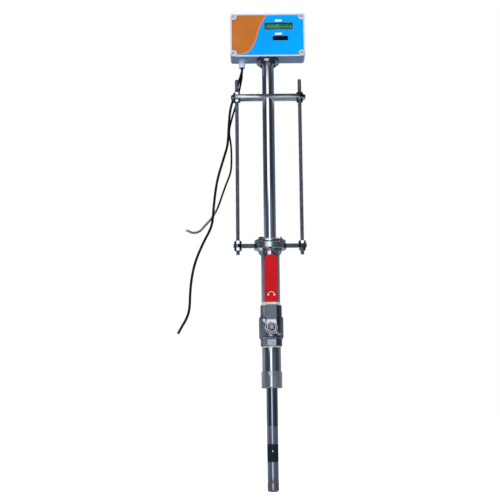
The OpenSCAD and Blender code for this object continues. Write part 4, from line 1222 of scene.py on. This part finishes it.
class BuildCables(bpy.types.Operator):
    """Lays the supply cable and the signal cable with its three stripped cores"""

    bl_idname = "flowmeter.cables"
    bl_label = "Cables"

    def execute(self, context):
        power = cable_curve("power_cord", POWER_ROUTE, POWER_D, "cable_jacket")
        self.declare(power, "power_cable", POWER_ROUTE, POWER_D, "medium",
                     [self.cut_end("power_cut_end", POWER_ROUTE, POWER_D)])
        signal = cable_curve("signal_cord", SIGNAL_ROUTE, SIGNAL_D, "cable_jacket")
        self.declare(signal, "signal_cable", SIGNAL_ROUTE, SIGNAL_D, "medium",
                     [self.jacket_end("signal_jacket_end", SIGNAL_ROUTE, SIGNAL_D)])
        for name, route in CORE_ROUTES.items():
            core = cable_curve(name + "_cord", route, CORE_D, name)
            self.declare(core, "signal_cores", route, CORE_D, "limp",
                         [self.bare_strands(name + "_strands", route)])
        return {"FINISHED"}

    def declare(self, piece, node, route, diameter, stiffness, tips):
        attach(piece, body_of(node))
        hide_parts(node)
        [c * MM for c in route[0]]

    def cut_end(self, name, route, diameter):
        """The sawn end: a collar of jacket round two cut cores."""
        r = diameter / 2 * MM
        rim = lathe("rim", shares(r, ((0, -1.2), (1.02, -1.2), (1.03, 0), (0.86, 0.25),
                                      (0.8, -0.1), (0, -0.1))), 40)
        core = shares(r, ((0, -0.4), (0.3, -0.4), (0.3, 0.3), (0.18, 0.5), (0, 0.5)))
        cores = [lathe("core", core, 20, (x, 0)) for x in (r * -0.36, r * 0.36)]
        piece = moved(joined(name, [rim] + cores), end_frame(route))
        return dress(piece, "cut_face", "power_cable")

    def jacket_end(self, name, route, diameter):
        """The stripped jacket's rim, slightly rolled."""
        profile = shares(diameter / 2 * MM, ((0, -1), (1.01, -1), (1.06, -0.3), (1.02, 0.2),
                                             (0.85, 0.25), (0.78, -0.2), (0, -0.2)))
        piece = moved(lathe(name, profile, 40), end_frame(route))
        return dress(piece, "cable_jacket", "signal_cable")

    def bare_strands(self, name, route):
        """A few bare copper strands, twisted, at the end of a core."""
        reach, thin, lay_r = 5.0 * MM, 0.16 * MM, 0.34 * MM
        count, sides, rows, twist = 6, 6, 7, 0.7
        strands = []
        for start in circle(count):
            verts = []
            for share in (row / (rows - 1) for row in range(rows)):
                turn = start + 2 * math.pi * twist * share
                cx, cy = lay_r * math.cos(turn), lay_r * math.sin(turn)
                verts += [(cx + thin * math.cos(a), cy + thin * math.sin(a),
                           share * reach - 0.5 * MM) for a in circle(sides)]
            strands.append(mesh_object("strand", verts, loft_faces(rows, sides)))
        piece = moved(joined(name, strands), end_frame(route))
        return dress(piece, "strands", "signal_cores")


class BuildCage(bpy.types.Operator):
    """Dresses the threaded rods, both crossbars, the gland and all their fasteners"""

    bl_idname = "flowmeter.cage"
    bl_label = "Cage"

    def execute(self, context):
        self.rod("guard_rod_left", -ROD_X)
        self.rod("guard_rod_right", ROD_X)
        softened("lower_crossbar", "ring_steel", 0.7)
        softened("upper_crossbar", "bar_steel", 2.4, segments=4)
        softened("stuffing_box", "pipe_steel", 0.5)
        softened("gland_follower", "plate_steel", 0.5)
        self.nuts("lower_lock_nuts", (0.04, 0.02, 0.45, 0.0), ARM_LOW)
        self.nuts("upper_lock_nuts", (0.05, 0.02, 0.5, 0.55), BAR_LOW)
        self.gland_bolts()
        self.weld("ring_weld", "stuffing_box", RING_LOW - STEP, bead=1.5 * MM, count=62)
        return {"FINISHED"}

    def screw(self, name, node, spot, height, crest, pitch, tone="bolt_steel", instead=False):
        """A threaded length at a place, made by the thread tree."""
        values = {"Material": finish(tone), "Root radius": crest - pitch * 0.6,
                  "Crest radius": crest, "Pitch": pitch,
                  "Turns": max(1, int((height - pitch) / pitch)),
                  "Steps": look().thread_steps, "Start": spot}
        piece = shared(thread_tree).grow(name, values, sharp=50.0)
        dress(piece, tone, node, instead=instead)

    def rod(self, node, x):
        tip, pitch = 1.2 * MM, look().rod_pitch
        self.screw(node + "_thread", node, (x, 0.0, ROD_LOW + tip), ROD_HIGH - ROD_LOW - 2 * tip,
                   ROD_R, pitch, "rod_steel", instead=True)
        inner = ROD_R - pitch * 0.55
        for name, z, way in (("_foot", ROD_LOW, 1), ("_tip", ROD_HIGH, -1)):
            profile = [(0, z), (inner - 0.5 * MM, z), (inner, z + way * 0.5 * MM),
                       (inner + 0.35 * MM, z + way * 1.6 * MM), (0, z + way * 1.6 * MM)]
            dress(lathe(node + name, profile, 48, (x, 0)), "rod_steel", node)

    def nuts(self, node, turns, plate_low):
        """Two nuts under and two above a crossbar, each left at its own angle."""
        bottom, top = ends(node)
        height = plate_low - bottom
        shape = hex_mesh("nut", high(node)[1] - low(node)[1], height, ROD_R * 0.99)
        spots = [(x, 0, z) for x in (-ROD_X, ROD_X) for z in (bottom, top - height)]
        scattered(node + "_shaped", shape, "nut_steel", node, spots, turns, 25.0, instead=True)

    def gland_bolts(self):
        """Four bolts that draw the gland's follower down, with nuts under the ring."""
        node, tone = "follower_bolts", "bolt_steel"
        flats, head_high, nut_high, shank_r = 13 * MM, 5.3 * MM, 6.5 * MM, 3.95 * MM
        spots = [(BOLT_CIRCLE * math.cos(a), BOLT_CIRCLE * math.sin(a))
                 for a in map(math.radians, (45, 135, 225, 315))]
        head = hex_mesh("head", flats, head_high, chamfer_low=False)
        scattered("gland_bolt_heads", head, tone, node, [(x, y, FOLLOWER_HIGH) for x, y in spots],
                  (0.1, 0.62, 0.3, 0.9), 25.0, instead=True)
        nut = hex_mesh("nut", flats, nut_high, 3.9 * MM)
        scattered("gland_bolt_nuts", nut, tone, node,
                  [(x, y, RING_LOW - nut_high) for x, y in spots], (0.5, 0.2, 0.8, 0.35), 25.0)
        shank = [(0, RING_LOW), (shank_r, RING_LOW), (shank_r, FOLLOWER_HIGH), (0, FOLLOWER_HIGH)]
        for index, (x, y) in enumerate(spots, 1):
            self.screw("gland_bolt_tail_%d" % index, node, (x, y, RING_LOW - 11 * MM), 12 * MM,
                       4 * MM, 1.25 * MM)
            dress(lathe("gland_bolt_shank_%d" % index, shank, 40, (x, y)), tone, node)

    def weld(self, name, node, z, bead, count):
        """A ring of overlapping weld scales round the pipe."""
        bm = bmesh.new()
        bmesh.ops.create_uvsphere(bm, u_segments=14, v_segments=8, radius=1.0)
        scale = moved(placed("scale", mesh_of("scale", bm)),
                      Matrix.Diagonal((bead, bead * 1.5, bead, 1)))
        dress(ringed(name, scale, "weld", count, PIPE_R, (0.0, 0.0, z), 60.0), "weld", node)


class BuildValve(bpy.types.Operator):
    """Dresses the ball valve, its pipe ends and the sealing tape"""

    bl_idname = "flowmeter.valve"
    bl_label = "Ball valve"

    def execute(self, context):
        softened("valve_body", "cast_steel", 0.9, segments=3)
        softened("valve_end_cap", "cast_steel", 0.9, segments=3)
        self.coupling()
        wall, soft = 3.6 * MM, 0.4 * MM
        turned("lower_nipple", "pipe_steel",
               closed_tube(PIPE_R, PIPE_R - wall, *ends("lower_nipple"), soft))
        self.tape()
        softened("packing_nut", "bolt_steel", 0.4)
        paint(body_seal="black_rubber", stem_packing="seal_white", seat_rings="seal_white",
              packing_rings="seal_white", valve_ball="ball_steel")
        return {"FINISHED"}

    def coupling(self):
        """A turned coupling with grooves of its thread inside its lower end."""
        node = "process_coupling"
        r, top = high(node)[0], high(node)[2]
        bore, top_r, deep = 22.5 * MM, PIPE_R + 0.05 * MM, 18 * MM
        foot_round, top_round = 2.8 * MM, 1.6 * MM
        profile = [(bore + 1.2 * MM, 0.0)]
        profile += arc(r - foot_round, foot_round, foot_round, -90, 0, 6)
        profile += arc(r - top_round, top - top_round, top_round, 0, 90)
        profile += [(top_r, top), (top_r, top - deep), (bore, top - deep)]
        z = deep
        while z > 3 * MM:
            profile += [(bore + 0.05 * MM, z), (bore + 1.1 * MM, z - 1.1 * MM)]
            z -= look().pipe_pitch
        profile += [(bore + 0.2 * MM, 1.4 * MM), (bore + 1.2 * MM, 0.0)]
        turned(node, "coupling_steel", profile, 120)

    def tape(self):
        """Sealing tape pressed into the thread, with wrinkles and an uneven rim."""
        inner, outer, ridge, rows = PIPE_R + 0.05 * MM, PIPE_R + 0.4 * MM, 0.18 * MM, 14
        foot, top = ends("thread_tape")
        bands = []
        for z0, z1, rim in ((foot, VALVE_LOW + 0.2 * MM, foot),
                            (VALVE_HIGH - 0.2 * MM, top, top)):
            waves = 2 * math.pi * (z1 - z0) / look().pipe_pitch
            profile = [(outer + ridge * math.cos(waves * k / rows), z0 + (z1 - z0) * k / rows)
                       for k in range(rows + 1)]
            band = lathe("band", [(inner, z0)] + profile + [(inner, z1), (inner, z0)], 144)
            for vert in band.data.vertices:
                x, y, z = vert.co
                swirl = Vector((x * 160, y * 160, z * 420))
                vert.co += Vector((x, y, 0)).normalized() * (noise.noise(swirl) * 0.16 * MM)
                if abs(z - rim) < 1e-6:
                    vert.co.z += noise.noise(swirl * 0.6) * 0.7 * MM
            bands.append(band)
        dress(joined("thread_tape_wrapped", bands), "tape", "thread_tape", instead=True)


class BuildLever(bpy.types.Operator):
    """Dresses the lever with its bends, its soft sleeve and its nut"""

    bl_idname = "flowmeter.lever"
    bl_label = "Lever"

    def execute(self, context):
        self.strap()
        self.sleeve()
        self.fasteners()
        return {"FINISHED"}

    def side_path(self, z_low, z_high, count=8):
        """Points of the strap's back face as distance to the front and height, bends rounded."""
        back, bend = -high("lever_arm")[1], look().bend_r
        front, foot, knee = back + 16 * MM, 22 * MM, 56 * MM
        spots = [Vector(spot) for spot in ((back, z_low), (back, foot), (front, knee),
                                           (front, z_high))]
        points = [tuple(spots[0])]
        for before, here, after in zip(spots, spots[1:], spots[2:]):
            a, b = (before - here).normalized(), (after - here).normalized()
            angle = a.angle(b)
            reach = bend / math.tan(angle / 2)
            centre = here + (a + b).normalized() * bend / math.sin(angle / 2)
            p, q = here + a * reach - centre, here + b * reach - centre
            points += [tuple(centre + p.lerp(q, i / count).normalized() * bend)
                       for i in range(count + 1)]
        return points + [tuple(spots[-1])]

    def strap(self):
        """The bent strap as a loft of eight-cornered sections."""
        hub, half, soft, thick = 15 * MM, 13 * MM, 0.45 * MM, look().strap_t
        top = high("lever_arm")[2] - BALL_Z
        path = self.side_path(-hub, top)
        stops = []
        for (ya, za), (yb, zb) in zip(path, path[1:]):
            pieces = max(1, int((zb - za) / (1.5 * MM)))
            stops += [(ya + (yb - ya) * i / pieces, za + (zb - za) * i / pieces)
                      for i in range(pieces)]
        stops.append(path[-1])
        verts = []
        for spine, back, ahead in zip(stops, stops[:1] + stops, stops[1:] + stops[-1:]):
            way = (Vector(ahead) - Vector(back)).normalized()
            out = Vector((way.y, -way.x))
            wide = max(self.half_width(spine[1], hub, half, top), soft * 1.01)
            side = [(wide - soft, 0), (wide, soft), (wide, thick - soft), (wide - soft, thick)]
            for x, deep in [(soft - wide, 0)] + side + [(-x, deep) for x, deep in side[:0:-1]]:
                spot = Vector(spine) + out * deep
                verts.append((x, -spot.x, BALL_Z + spot.y))
        piece = mesh_object("lever_strap", verts, loft_faces(len(stops), 8), 28.0)
        dress(piece, "hub_steel", "lever_arm", instead=True)

    def half_width(self, z, hub, half, top):
        """Half of the strap's width: round at both ends, wider at the hub."""
        if z > top - half:
            return math.sqrt(max(half ** 2 - (z - top + half) ** 2, 0))
        if z < hub:
            ring = math.sqrt(max(hub ** 2 - z ** 2, 0))
            return ring if z < 0 else max(ring, half)
        return half

    def outline(self, r, length):
        """Front outline of the sleeve from its lower left corner round its top."""
        side = [(-r, length * k / 12) for k in range(12)]
        return side + arc(0, length, r, 180, 0, 20) + [(-x, z) for x, z in reversed(side)]

    def sleeve(self):
        """The sleeve as a loft of outlines from its front to its back."""
        lo, hi = corners("lever_sleeve")
        front, back, soft, half = lo.y, hi.y, 2.3 * MM, (hi.x - lo.x) / 2
        rounded = [(front + soft * (1 - math.sin(a)), soft * (1 - math.cos(a)))
                   for a in (math.radians(18 * i) for i in range(6))]
        rings = [(front, soft + 1.2 * MM)] + rounded[::-1]
        rings += [(back + front - y, inset) for y, inset in reversed(rings)]
        verts = [(x, y, lo.z + z) for y, inset in rings
                 for x, z in self.outline(half - inset, hi.z - lo.z - half)]
        faces = loft_faces(len(rings), len(verts) // len(rings))
        body = mesh_object("lever_sleeve_dipped", verts, faces, 30.0)
        dress(body, "red_vinyl", "lever_sleeve", instead=True)
        dress(self.arrow_mark(lo, front), "label_white", "lever_sleeve")

    def arrow_mark(self, lo, front):
        """A printed arc with two dots, which shows how far the lever turns."""
        centre_z, r, wide, thick, steps = lo.z + 17.6 * MM, 7.8 * MM, 0.5 * MM, 0.12 * MM, 24
        verts = []
        for a in (math.radians(10 + 160 * i / steps) for i in range(steps + 1)):
            verts += [(rr * math.cos(a), front + off, centre_z + rr * math.sin(a))
                      for rr, off in ((r - wide, thick), (r - wide, -thick),
                                      (r + wide, -thick), (r + wide, thick))]
        parts = [mesh_object("arc", verts, loft_faces(steps + 1, 4), 30.0)]
        for x in (-r, r):
            dot = [(0, 0), (2 * MM, 0), (1.8 * MM, thick * 1.4), (0, thick * 1.4)]
            parts.append(moved(lathe("dot", dot, 32), forward(x, centre_z, front)))
        return joined("sleeve_arc", parts)

    def fasteners(self):
        """The stem's washer, its nut and the threaded tip."""
        flats, bore = 17 * MM, 4.9 * MM
        front, back = low("stem_nut")[1], high("stem_nut")[1]
        nut = moved(hex_mesh("stem_nut_shaped", flats, back - front, bore),
                    forward(0, BALL_Z, back) @ Matrix.Rotation(NUT_TURN, 4, "Z"))
        dress(nut, "hub_steel", "stem_nut", instead=True)
        front, back = low("stem_washer")[1], high("stem_washer")[1]
        profile = closed_tube(10 * MM, 5 * MM, 0, back - front, 0.5 * MM)
        moved(turned("stem_washer", "hub_steel", profile, 64), forward(0, BALL_Z, back))
        softened("valve_stem", "hub_steel", 0.4)


class BuildProbe(bpy.types.Operator):
    """Dresses the polished stem, the probe and its insulated sensing head"""

    bl_idname = "flowmeter.probe"
    bl_label = "Stem and probe"

    def execute(self, context):
        (lower, gap_low), (gap_high, _), (seam, _) = (
            ends("sensor_head_lower"), ends("sensor_head_upper"), ends("probe_tube"))
        for node, tone, r_out, r_in, soft, (z0, z1) in (
                ("stem_sleeve", "polished_steel", STEM_R, PROBE_R + 0.05 * MM, 0.5,
                 ends("stem_sleeve")),
                ("probe_tube", "probe_steel", PROBE_R, PROBE_BORE, 0.25, ends("probe_tube")),
                ("sensor_head_upper", "brushed_probe", PROBE_R, PROBE_BORE, 0.3,
                 (gap_high, seam)),
                ("sensor_head_lower", "brushed_probe", PROBE_R, PROBE_BORE, 0.3,
                 (lower, gap_low))):
            turned(node, tone, closed_tube(r_out, r_in, z0, z1, soft * MM), 128)
        insulator = closed_tube(PROBE_R * 0.998, PROBE_BORE, gap_low, gap_high, 0.2 * MM)
        turned("insulator_sleeve", "insulator", insulator, name="insulator_turned")
        self.cap(lower)
        self.pins()
        self.seam("probe_seam", "probe_tube", seam)
        paint(coil_core="ferrite", field_coil="copper", sensor_leads="black_rubber")
        return {"FINISHED"}

    def cap(self, top):
        """The domed cap that closes the probe."""
        z0, r, soft = low("end_cap")[2], high("end_cap")[0], 6 * MM
        profile = [(0, z0)] + arc(r - soft, z0 + soft, soft, -90, 0, 10)
        profile += [(r, top - 0.3 * MM), (r - 0.3 * MM, top), (0, top)]
        turned("end_cap", "end_cap_steel", profile)

    def pins(self):
        """Domed electrode tips flush with the insulator."""
        lo, hi = corners("electrodes")
        z, tall = (lo.z + hi.z) / 2, 4 * MM
        profile = shares(2.15 * MM, ((0, 0), (1, 0), (1, 3.6), (0.85, 3.85), (0.5, 3.98), (0, 4)))
        tips = [moved(lathe("pin", profile, 40),
                      Matrix.Rotation(turn, 4, "Z") @ forward(0, z, lo.y + tall))
                for turn in (0, math.pi)]
        dress(joined("electrode_tips", tips), "electrode", "electrodes", instead=True)

    def seam(self, name, node, z):
        """The dressed weld between the polished tube and the brushed head."""
        r = PROBE_R
        bead = lathe(name, [(r - 0.3 * MM, z - 0.9 * MM), (r + 0.02 * MM, z - 0.7 * MM),
                            (r + 0.08 * MM, z - 0.2 * MM), (r + 0.06 * MM, z + 0.4 * MM),
                            (r - 0.3 * MM, z + 0.8 * MM), (r - 0.3 * MM, z - 0.9 * MM)], 128)
        for vert in bead.data.vertices:
            a = math.atan2(vert.co.y, vert.co.x)
            vert.co.z += 0.12 * MM * math.sin(a * 40) + 0.1 * MM * math.sin(a * 3)
        dress(bead, "weld", node)


class BuildHead(bpy.types.Operator):
    """Dresses the housing, its label, display, keys, flange and cable gland"""

    bl_idname = "flowmeter.head"
    bl_label = "Head"

    def execute(self, context):
        softened("box_lid", "housing_lid", 1.0, segments=3)
        softened("box_base", "housing", 1.0, segments=3)
        self.label()
        self.screws()
        self.pills()
        self.display()
        self.keys()
        softened("head_flange", "flange_steel", 0.6, segments=3)
        softened("flange_spacer", "black_rubber", 0.6, segments=3)
        softened("flange_bolts", "dark_bolt", 0.3)
        self.gland()
        paint(lid_gasket="black_rubber", circuit_board="board", terminal_block="terminal",
              key_switches="key_black", gland_locknut="gland_plastic")
        return {"FINISHED"}

    def seat_spots(self):
        lo, hi = corners("lid_screws")
        return [(x, FACE_Y, z) for x in (lo.x + SEAT_IN, hi.x - SEAT_IN)
                for z in (lo.z + SEAT_IN, hi.z - SEAT_IN)]

    def label_rings(self, lo, hi):
        """Outlines of the film: round the four screw seats, the window and the keys."""
        r, gap, outline = 9.0 * MM, 0.3 * MM, []
        for x, _, z in (self.seat_spots()[k] for k in (0, 2, 3, 1)):
            side = lo.x if x < 0 else hi.x
            rim = lo.z if z < (lo.z + hi.z) / 2 else hi.z
            inward = math.atan2(math.copysign(1, z - rim), math.copysign(1, x - side))
            half = math.pi / 4 + math.asin(abs(side - x) / r)
            outline += [(x + r * math.cos(inward + turn), z + r * math.sin(inward + turn))
                        for turn in (half * (1 - k / 6) for k in range(13))]
        rings = [outline]
        for first, last in (("display_window", "display_window"), ("key_1", "key_4")):
            a, b = low(first), high(last)
            rings.append([(a[0] - gap, a[2] - gap), (b[0] + gap, a[2] - gap),
                          (b[0] + gap, b[2] + gap), (a[0] - gap, b[2] + gap)])
        return rings

    def label(self):
        """The label film, a filled outline with its thickness."""
        lo, hi = LABEL_LOW.copy(), LABEL_HIGH.copy()
        hi.z += 0.9 * MM  # closes the gap to the lid's upper edge
        bm = bmesh.new()
        for ring in self.label_rings(lo, hi):
            spots = [bm.verts.new((x, 0, z)) for x, z in ring]
            for k, spot in enumerate(spots):
                bm.edges.new((spot, spots[k - 1]))
        bmesh.ops.triangle_fill(bm, use_beauty=True, edges=bm.edges[:])
        bm.verts.index_update()
        flat = [Vector((vert.co.x, vert.co.z)) for vert in bm.verts]
        n, faces = len(flat), []
        for face in bm.faces:
            a, b, c = (vert.index for vert in face.verts)
            if (flat[b] - flat[a]).cross(flat[c] - flat[a]) <= 0:
                b, c = c, b
            faces += [(a, b, c), (c + n, b + n, a + n)]
        for edge in bm.edges:
            if len(edge.link_faces) == 1:
                a, b = (vert.index for vert in edge.verts)
                faces.append((a, b, b + n, a + n))
        bm.free()
        verts = [(x, y, z) for y in (lo.y - 0.12 * MM, hi.y) for x, z in flat]
        film = mesh_object("front_label_film", verts, faces, 30.0)
        dress(film, "label", "front_label", instead=True)

    def screws(self):
        """Round screw seats at the corners, with slotted heads sunk in them and thin dark rings of
        painted shade round and inside each seat.
        """
        bore, lip, rim_r, tall, soft = 4.2 * MM, 4.9 * MM, 8.3 * MM, 0.9 * MM, 0.5 * MM
        profile = ([(bore, 0), (rim_r, 0)] + arc(rim_r - soft, tall - soft, soft, 0, 90, 4)
                   + arc(lip, tall - soft, soft, 90, 180, 4) + [(bore, 0)])
        seat = lathe("seat", profile, 64)
        # thin dark rings of painted shade round each seat and inside its lip
        rims = joined("rims", [
            lathe("rim", [(r, 0), (r + wide, 0), (r + wide, high_up), (r, high_up), (r, 0)], 64)
            for r, wide, high_up in ((8.35 * MM, 0.6 * MM, 0.3 * MM),
                                     (4.15 * MM, 0.75 * MM, 0.94 * MM))])
        for name, shape, tone in (("screw_seats", seat, "screw_cover"),
                                  ("screw_seat_grooves", rims, "groove")):
            moved(shape, forward(0, 0))
            scattered(name, shape, tone, "box_lid", self.seat_spots())
        softened("lid_screws", "slotted_head", 0.25)

    def flat_plate(self, name, x0, x1, z0, z1, y0, y1, r, steps=8):
        """A thin plate with round corners, facing the front."""
        outline = []
        for cx, cz, start in ((x1 - r, z1 - r, 0), (x0 + r, z1 - r, 90), (x0 + r, z0 + r, 180),
                              (x1 - r, z0 + r, 270)):
            outline += arc(cx, cz, r, start, start + 90, steps)
        verts = [(x, y, z) for y in (y0, y1) for x, z in outline]
        return mesh_object(name, verts, loft_faces(2, len(outline)), 30.0)

    def plate_round(self, name, centre, wide, tall, y0, y1, r, steps=8):
        """The same plate from its middle and half of its width and height."""
        return self.flat_plate(name, centre.x - wide, centre.x + wide, centre.z - tall,
                               centre.z + tall, y0, y1, r, steps)

    def pills(self):
        """Blank white fields above and below the display."""
        centre, y = middle("display_window"), FACE_Y - 0.14 * MM
        centre.x -= 0.5 * MM
        for name, z in (("upper", 976.5 * MM), ("lower", 939.3 * MM)):
            centre.z = z
            pill = self.plate_round("label_field_" + name, centre, 9.1 * MM, 2.6 * MM,
                                    y - 0.06 * MM, y + 0.1 * MM, 2 * MM)
            dress(pill, "label_white", "front_label")

    def display(self):
        """The window pane, the black frame round it and the lit module behind."""
        (lo, hi), rim = corners("display_window"), 3.0 * MM
        pane = self.flat_plate("window_pane", lo.x, hi.x, lo.z, hi.z, lo.y + 0.1 * MM,
                               hi.y, 0.4 * MM)
        dress(pane, "window", "display_window", instead=True)
        bezel = self.flat_plate("bezel", lo.x, hi.x, lo.z, hi.z, lo.y - 0.25 * MM,
                                lo.y + 0.05 * MM, 0.4 * MM)
        hole = self.flat_plate("hole", lo.x + rim, hi.x - rim, lo.z + rim * 0.8, hi.z - rim,
                               lo.y - 2 * MM, lo.y + 2 * MM, 0.5 * MM)
        dress(cut_away(bezel, hole), "bezel", "display_window")
        softened("lcd_module", "lcd", 0.3)
        self.digits((lo + hi) / 2)

    def digits(self, centre):
        """Plain dot-matrix numbers on a grid of faint cells; two hex digits are a row of dots."""
        dots = {"0": "0e11131519110e", "1": "040c040404040e", "2": "0e11010204081f",
                "3": "1f02040201110e", "4": "02060a121f0202", "5": "1f101e0101110e",
                "6": "0608101e11110e", "7": "1f010204080808", "8": "0e11110e11110e",
                "9": "0e11110f01020c", ".": "00000000000c0c"}
        y, pitch, wide, tall = low("lcd_module")[1], 0.62 * MM, 3.9 * MM, 5.6 * MM
        spots, cells = [], []
        for row, text in enumerate(("   12.48    0.75", "  0036157.2     ")):
            top = centre.z + 4.9 * MM - row * tall
            for column, sign in enumerate(text):
                left = centre.x + (column - 8) * wide
                cells.append((left + 2.5 * pitch, y - 0.03 * MM, top - 3.5 * pitch))
                for line, bits in enumerate(bytes.fromhex(dots.get(sign, ""))):
                    spots += [(left + pitch * (k + 0.5), y - 0.06 * MM, top - pitch * (line + 0.5))
                              for k in range(5) if bits >> (4 - k) & 1]
        for name, half_w, half_h, points, tone in (
                ("lcd_cells", 1.65 * MM, 2.25 * MM, cells, "lcd_cell"),
                ("lcd_digits", 0.28 * MM, 0.28 * MM, spots, "lcd_dot")):
            shape = self.plate_round("dot", Vector(), half_w, half_h, 0, 0.02 * MM, 0.06 * MM, 1)
            scattered(name, shape, tone, "lcd_module", points)

    def keys(self):
        """Four soft keys in a thin black frame."""
        names = ("key_1", "key_2", "key_3", "key_4")
        a, b, rim = middle(names[0]), middle(names[-1]), 1.2 * MM
        wide, tall = (size / 2 + 0.25 * MM for size in KEY_FACE)
        plate = self.flat_plate("key_frame", a.x - wide - rim, b.x + wide + rim,
                                a.z - tall - rim, a.z + tall + rim, FACE_Y - 0.2 * MM,
                                FACE_Y + 0.1 * MM, 0.8 * MM)
        for node in names:
            hole = self.plate_round("hole", middle(node), wide, tall, FACE_Y - MM, FACE_Y + MM,
                                    0.3 * MM)
            cut_away(plate, hole)
            softened(node, "key_black", 0.7, segments=3)
        dress(plate, "key_black", "front_label")

    def gland(self):
        """The gland's body, its ribbed dome nut and its rubber insert."""
        softened("gland_body", "gland_plastic", 0.5)
        lo, hi = corners("gland_nut")
        cx, r = (lo.x + hi.x) / 2, (hi.x - lo.x) / 2 - 0.35 * MM
        z0, z1, bore, neck, dome = lo.z, hi.z, 6.25 * MM, 7.65 * MM, 2.6 * MM
        profile = [(bore, z0 + 0.6 * MM), (bore + 0.5 * MM, z0)]
        profile += arc(r - dome, z0 + dome, dome, -80, 0, 8)
        profile += [(r, z0 + 7 * MM), (r * 0.985, z0 + 7.4 * MM), (r * 0.985, z1 - 1 * MM),
                    (r * 0.95, z1), (neck, z1), (neck, z1 - 7 * MM), (bore, z1 - 7 * MM),
                    (bore, z0 + 0.6 * MM)]
        nut = lathe("gland_dome", profile, 80, (cx, 0))
        rib = self.flat_plate("rib", -0.55 * MM, 0.55 * MM, 0, 9 * MM, -0.5 * MM, 0.5 * MM,
                              0.3 * MM, 3)
        moved(rib, Matrix.Rotation(math.radians(90), 4, "Z"))
        ribs = ringed("ribs", rib, "gland_plastic", 18, r - 0.1 * MM, (cx, 0.0, z0 + 7.8 * MM))
        dress(joined("gland_nut_ribbed", [nut, ribs]), "gland_plastic", "gland_nut", instead=True)
        softened("gland_insert", "black_rubber", 0.3)


# ---------------------------------------------------------------- panel and registration

STEPS = (BuildStage, BuildCables, BuildCage, BuildValve, BuildLever, BuildProbe, BuildHead)


class FlowMeterPanel(bpy.types.Panel):
    """Lists the steps that dress the flow meter"""

    bl_idname = "VIEW3D_PT_flow_meter"
    bl_label = "Flow meter"
    bl_space_type = "VIEW_3D"
    bl_region_type = "UI"
    bl_category = "Flow meter"

    def draw(self, context):
        layout = self.layout
        for step in STEPS:
            layout.operator(step.bl_idname)
        for group in (look(), shot()):
            box = layout.box()
            for name in group.bl_rna.properties.keys():
                if name not in ("rna_type", "name"):
                    box.prop(group, name)


CLASSES = (FlowMeterLook, FlowMeterShot) + STEPS + (FlowMeterPanel,)


def register():
    for cls in CLASSES:
        bpy.utils.register_class(cls)
    bpy.types.Scene.flow_look = PointerProperty(type=FlowMeterLook)
    bpy.types.Scene.flow_shot = PointerProperty(type=FlowMeterShot)


def unregister():
    del bpy.types.Scene.flow_shot
    del bpy.types.Scene.flow_look
    for cls in reversed(CLASSES):
        bpy.utils.unregister_class(cls)


def main():
    register()
    bpy.ops.flowmeter.stage()
    bpy.ops.flowmeter.cables()
    bpy.ops.flowmeter.cage()
    bpy.ops.flowmeter.valve()
    bpy.ops.flowmeter.lever()
    bpy.ops.flowmeter.probe()
    bpy.ops.flowmeter.head()


if __name__ == "__main__":
    main()
